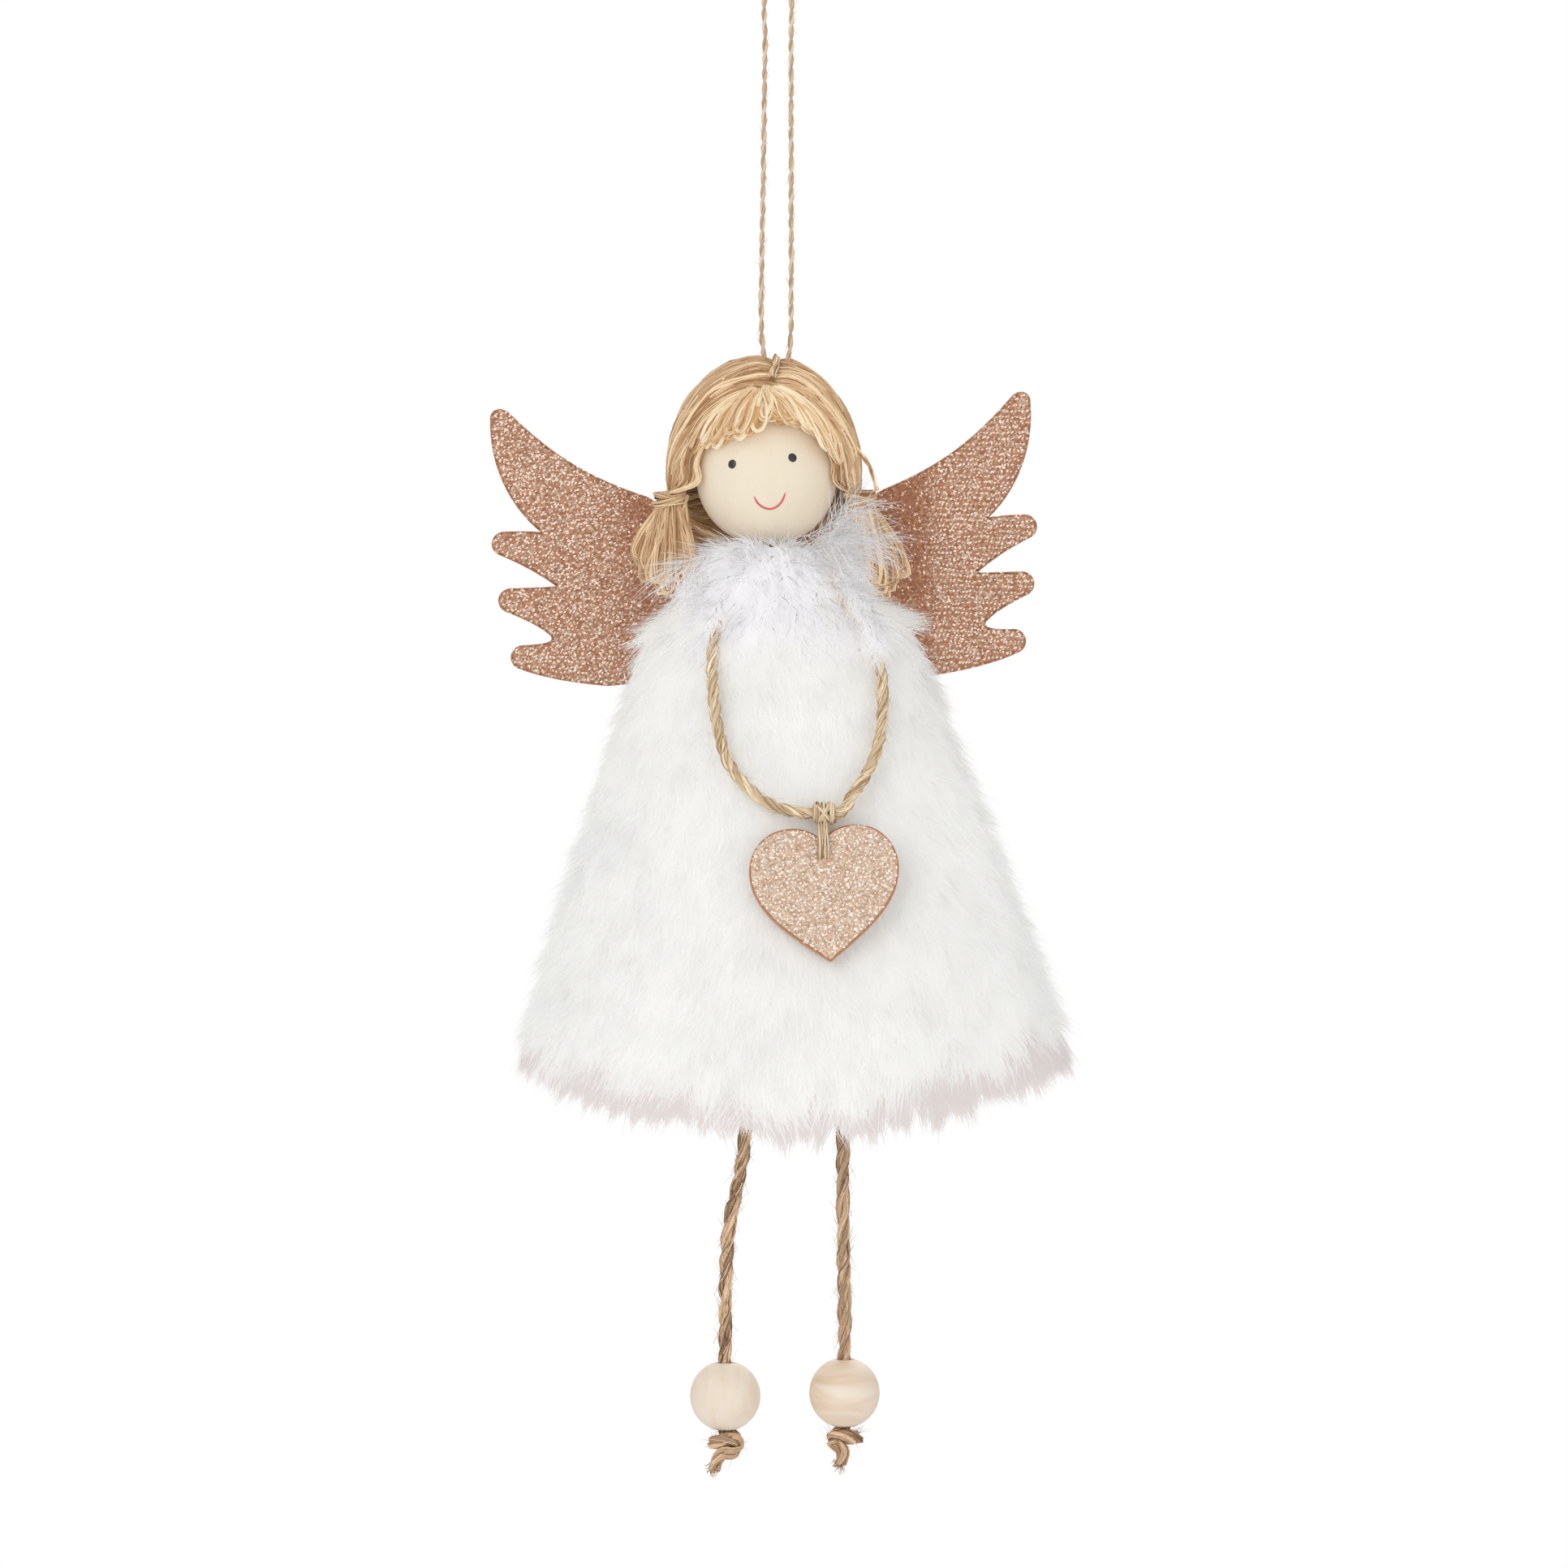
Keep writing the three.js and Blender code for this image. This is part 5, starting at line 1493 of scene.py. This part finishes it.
def glitter_rows(points, rng, pitch, gap, slant, loose):
    """Places in rows over an outline, as on ribbed cloth.

    loose tells how far the ones on the left and on the right may stray.
    """
    low, high = points.min(axis=0) - 2, points.max(axis=0) + 2
    rows = np.arange(low[1] - 8, high[1] + 8, pitch)
    along = np.arange(low[0], high[0], gap)
    x, row = np.meshgrid(along, np.arange(len(rows)))
    x = x + 0.5 * gap * (row % 2) + rng.normal(0, 0.22 * gap, x.shape)
    stray = np.where(x > 0, loose[1], loose[0])
    y = rows[row] + slant * x + 0.12 * np.sin(x * 0.9 + row) + rng.normal(0, 1, x.shape) * stray * pitch
    return inside(points, np.stack([x.ravel(), y.ravel()], axis=-1))


def flake_part(places, depth, facing, tones, sizes, rng, lift, painted_shade=0.0, stretch=1.0):
    """Six-cornered flakes lying at all angles on a sheet; the UV map holds the tone of each."""
    count = len(places)
    # A flake's tone is lowered by the given painted shade.
    tone = rng.uniform(*tones, count) - painted_shade
    size = rng.uniform(*sizes, count)
    turn = turns(6)
    radius = size[:, None] * rng.uniform(0.85, 1.1, (count, 6))
    spin = rng.uniform(0, 2 * np.pi, (count, 1))
    a = stretch * radius * np.cos(turn + spin)
    b = radius * np.sin(turn + spin) / stretch
    slant = np.radians(35) + rng.normal(0, 0.25, (count, 1))
    x = a * np.cos(slant) - b * np.sin(slant)
    z = a * np.sin(slant) + b * np.cos(slant)
    slope = rng.normal(0, 0.2, (count, 2))
    y = x * slope[:, :1] + z * slope[:, 1:]
    points = np.stack([places[:, :1] + x, depth + facing * lift + y, places[:, 1:] + z], axis=-1)
    row = rng.integers(0, TONE_ROWS, count)[:, None]
    u = np.clip(tone, 0.02, 0.98)[:, None] + 0.008 * np.cos(turn)
    v = (row + 0.5 + 0.3 * np.sin(turn)) / TONE_ROWS
    faces = np.arange(count * 6).reshape(count, 6)
    if facing > 0:
        faces = faces[:, ::-1]
    return points.reshape(-1, 3), faces, np.stack([u, v], axis=-1).reshape(-1, 2)


def sides_of(thickness):
    """Name, depth and facing of a sheet's two sides."""
    return (("front", 0.0, -1.0), ("back", thickness, 1.0))


def painted_shade_near_body(places):
    """How far the glitter is darkened by painted shade, where the collar and hair shade the wings: fully
    beside the dress, less so on the left, and not at the tips.
    """
    reach = np.where(places[:, 0] > 0, 25.5, 22.0)
    painted_shade = 1 - np.clip((np.abs(places[:, 0]) - reach) / 5.5, 0, 1)
    return np.where(places[:, 0] > 0, 1.0, 0.7) * painted_shade * painted_shade * (3 - 2 * painted_shade)


def make_wings():
    rng = np.random.default_rng(61)
    points = wing_outline()
    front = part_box("wings")[0].y / MM

    def in_place(local):
        local = np.array(local, dtype=float)
        local[:, 0] *= np.where(local[:, 0] < 0, LEFT_WING_STRETCH, 1.0)
        moved = leaning(local + WING_SHIFT)
        moved[:, 1] = front + local[:, 1]
        return moved

    sheet, faces, rim = sheet_part(points, WING_T, 0.4)
    part = in_place(sheet), faces, None
    round_rim = np.arange(len(faces)) < rim
    add_piece("glitter_wings", part, WING_SHEET, "torso", "wing_glitter", "wings", smooth=round_rim)
    for side, depth, facing in sides_of(WING_T):
        grains = scattered(points, 3.2, rng)
        # Beside the dress the flakes' tones are lowered: painted shade from the collar and hair.
        painted_shade = 0.5 * painted_shade_near_body(grains)
        dull = flake_part(grains, depth, facing, (0.02, 0.5), (0.2, 0.3), rng, 0.06, painted_shade)
        # Bright flakes in rows: their pale tones are painted glints.
        dots = glitter_rows(points, rng, 0.98, 0.72, -0.05, (0.3, 0.1))
        painted_shade = 0.95 * painted_shade_near_body(dots)
        bright = flake_part(dots, depth, facing, (0.68, 1.1), (0.15, 0.25), rng, 0.14, painted_shade, stretch=1.25)
        flakes, corners, uv = joined(dull, bright)
        part = in_place(flakes), corners, uv
        add_piece(f"wing_flakes_{side}", part, WING_FLAKE, "torso", "wing_glitter", smooth=False)


def heart_frame():
    """The heart's own frame: where its tie leaves the knot, and how it leans along the fur."""
    knot_y = on_fur(KNOT_X, KNOT_Z)[1]
    top = KNOT_Z - KNOT_R - 0.3
    span = HEART_H * 0.9
    turn = -math.atan2(front_of_dress(KNOT_X, top) - front_of_dress(KNOT_X, top - span), span)
    origin = np.array([KNOT_X + HEART_SHIFT, knot_y, top])
    leant = np.array([[1, 0, 0], [0, math.cos(turn), -math.sin(turn)], [0, math.sin(turn), math.cos(turn)]])
    return origin, leant


def make_heart():
    rng = np.random.default_rng(62)
    origin, leant = heart_frame()
    cos, sin = math.cos(HEART_ROLL), math.sin(HEART_ROLL)
    rolled = np.array([[cos, 0, -sin], [0, 1, 0], [sin, 0, cos]])
    hole = np.array([0, 0, -HEART_HOLE_DROP - HEART_CLEFT_DROP])
    hole_r, flakes_off = 0.95, 1.2

    def in_place(local):
        local = np.asarray(local, dtype=float) - np.array([0, HEART_T / 2, -HEART_HOLE_DROP])
        return origin + (local @ rolled.T + hole) @ leant.T

    def off_hole(places):
        return places[np.linalg.norm(places - [0.0, -HEART_HOLE_DROP], axis=1) > flakes_off]

    points = heart_outline()
    sheet, faces, rim = sheet_part(points, HEART_T, 0.3)
    on_rim = np.arange(len(faces)) < rim
    heart = mesh_piece("glitter_heart", (in_place(sheet), faces, None), HEART_SHEET, smooth=on_rim)
    heart.data.materials.append(HEART_EDGE)
    heart.data.polygons.foreach_set("material_index", on_rim.astype(np.int32))
    dress_piece(heart, "pendant", "heart_glitter", "heart")
    for side, depth, facing in sides_of(HEART_T):
        grains = off_hole(scattered(points, 4.2, rng))
        dull = flake_part(grains, depth, facing, (0.0, 0.6), (0.2, 0.32), rng, 0.05)
        # Bright flakes in rows: their pale tones are painted glints.
        dots = off_hole(glitter_rows(points, rng, 0.78, 0.78, 0.3, (0.2, 0.2)))
        bright = flake_part(dots, depth, facing, (0.62, 1.1), (0.1, 0.23), rng, 0.13)
        flakes, corners, uv = joined(dull, bright)
        part = in_place(flakes), corners, uv
        add_piece(f"heart_flakes_{side}", part, HEART_FLAKE, "pendant", "heart_glitter", smooth=False)
    ring = np.linspace(0, 2 * np.pi, 24, endpoint=False)
    bore = []
    for depth in (-0.02, HEART_T + 0.02):
        x, z = hole_r * np.cos(ring), hole_r * np.sin(ring) - HEART_HOLE_DROP
        bore.append(np.stack([x, np.full(len(ring), depth), z], axis=-1))
    wall = in_place(np.vstack(bore)), flipped(grid_faces(2, len(ring))), None
    add_piece("heart_hole", wall, HEART_EDGE, "pendant", "heart_glitter")
    make_heart_tie(origin, leant, rng)


def make_heart_tie(origin, leant, rng):
    """Two strands side by side, from the knot down the front, through the hole and up the back."""
    hole = -HEART_CLEFT_DROP - HEART_HOLE_DROP
    reach = HEART_T / 2 + 0.85
    route = [
        (0, -0.9, 0.9), (0, -reach * 0.95, -1.0), (0.05, -reach, -2.6), (0.05, -reach, hole + 1.1),
        (0, -reach * 0.72, hole + 0.5), (0, 0, hole + 0.25), (0, reach * 0.72, hole + 0.5),
        (0, reach, hole + 1.1), (0, reach, -2.6), (0, reach * 0.95, -1.0), (0, 0.9, 0.9),
    ]
    path = origin + spline(route, 0.3) @ leant.T
    beside = np.array([0.42, 0.0, 0.0])
    pair = [bundle(path + shift * beside, 16, 0.46, rng, wander=0.2) for shift in (-1, 1)]
    strands, normals = (np.concatenate(both) for both in zip(*pair))
    part = fibre_part(strands, normals, 0.13, 0.9, rng)
    add_piece("heart_tie_jute", part, ROPE, "pendant", "rope", "heart_tie")


def make_knot():
    """Three turns of loose jute round the necklace rope, with two loops laid across them."""
    rng = np.random.default_rng(63)
    centre = np.array(on_fur(KNOT_X, KNOT_Z))
    turn = np.linspace(0, 2 * np.pi * 3.0, 110)
    x = centre[0] - 1.9 + 3.8 * turn / turn[-1] + 0.25 * np.sin(turn)
    path = np.stack([x, centre[1] + 1.5 * np.cos(turn), centre[2] + 1.5 * np.sin(turn)], axis=-1)
    parts = [fibre_part(*bundle(path, 22, 0.58, rng, wander=0.2), 0.15, 0.8, rng)]
    turn = np.linspace(0, 2 * np.pi, 60)
    for tilt, radius in ((0.75, 1.75), (-0.55, 1.85)):
        ring = [-math.sin(tilt) * np.sin(turn), np.cos(turn), math.cos(tilt) * np.sin(turn)]
        path = centre + radius * np.stack(ring, axis=-1)
        parts.append(fibre_part(*bundle(path, 13, 0.36, rng, wander=0.2), 0.14, 0.8, rng))
    add_piece("necklace_wraps", joined(*parts), ROPE, "pendant_knot", "rope", "necklace_knot")


def finish_hidden_solids():
    """Solids that stay as they are get the finish of what they are made of."""
    finishes = {
        "base_panel": LINING,
        "stuffing": LINING,
        "neck_twine": LEG_ROPE,
        "left_leg_anchor": LEG_ROPE,
        "right_leg_anchor": LEG_ROPE,
    }
    for name, material in finishes.items():
        slots = frame["nodes"][name].data.materials
        slots.clear()
        slots.append(material)


# Light, floor and backdrop


def light_scene():
    scene = bpy.context.scene
    scene.view_settings.view_transform = "Standard"
    world = bpy.data.worlds.new("studio")
    scene.world = world
    world.use_nodes = True
    tree = world.node_tree
    shade = tree.nodes["Background"]
    shade.inputs["Color"].default_value = (1, 1, 1, 1)
    path = node(tree, "ShaderNodeLightPath").outputs
    seen = maths(tree, "MAXIMUM", path["Is Camera Ray"], path["Is Transmission Ray"])
    feed(tree, maths(tree, "MULTIPLY_ADD", seen, 1 - AMBIENT, AMBIENT), shade.inputs["Strength"])
    for name, place, size, watts in LAMPS:
        data = bpy.data.lights.new(name, "AREA")
        data.size = size
        data.energy = watts
        lamp = bpy.data.objects.new(name, data)
        lamp.location = place
        aim = Vector((0, 0, -0.14)) - lamp.location
        lamp.rotation_euler = aim.to_track_quat("-Z", "Y").to_euler()
        scene.collection.objects.link(lamp)
    turn = turns(64)
    floor_r, floor_z = 800, -450.0
    disc = np.stack([floor_r * np.cos(turn), floor_r * np.sin(turn), np.full(len(turn), floor_z)], axis=-1)
    material = finish("floor_paper", roughness=0.9, colour=(0.9, 0.9, 0.89))[0]
    mesh_piece("floor", (disc, np.arange(len(turn))[None], None), material)


place_camera()
make_hanging_loop()
make_necklace()
make_leg("left")
make_leg("right")
make_dress()
make_fur()
make_collar()
make_neck_rope()
make_head()
make_hair()
make_fringe()
make_pigtails()
make_crown_tie()
make_wings()
make_heart()
make_knot()
finish_hidden_solids()
light_scene()

bpy.context.view_layer.update()
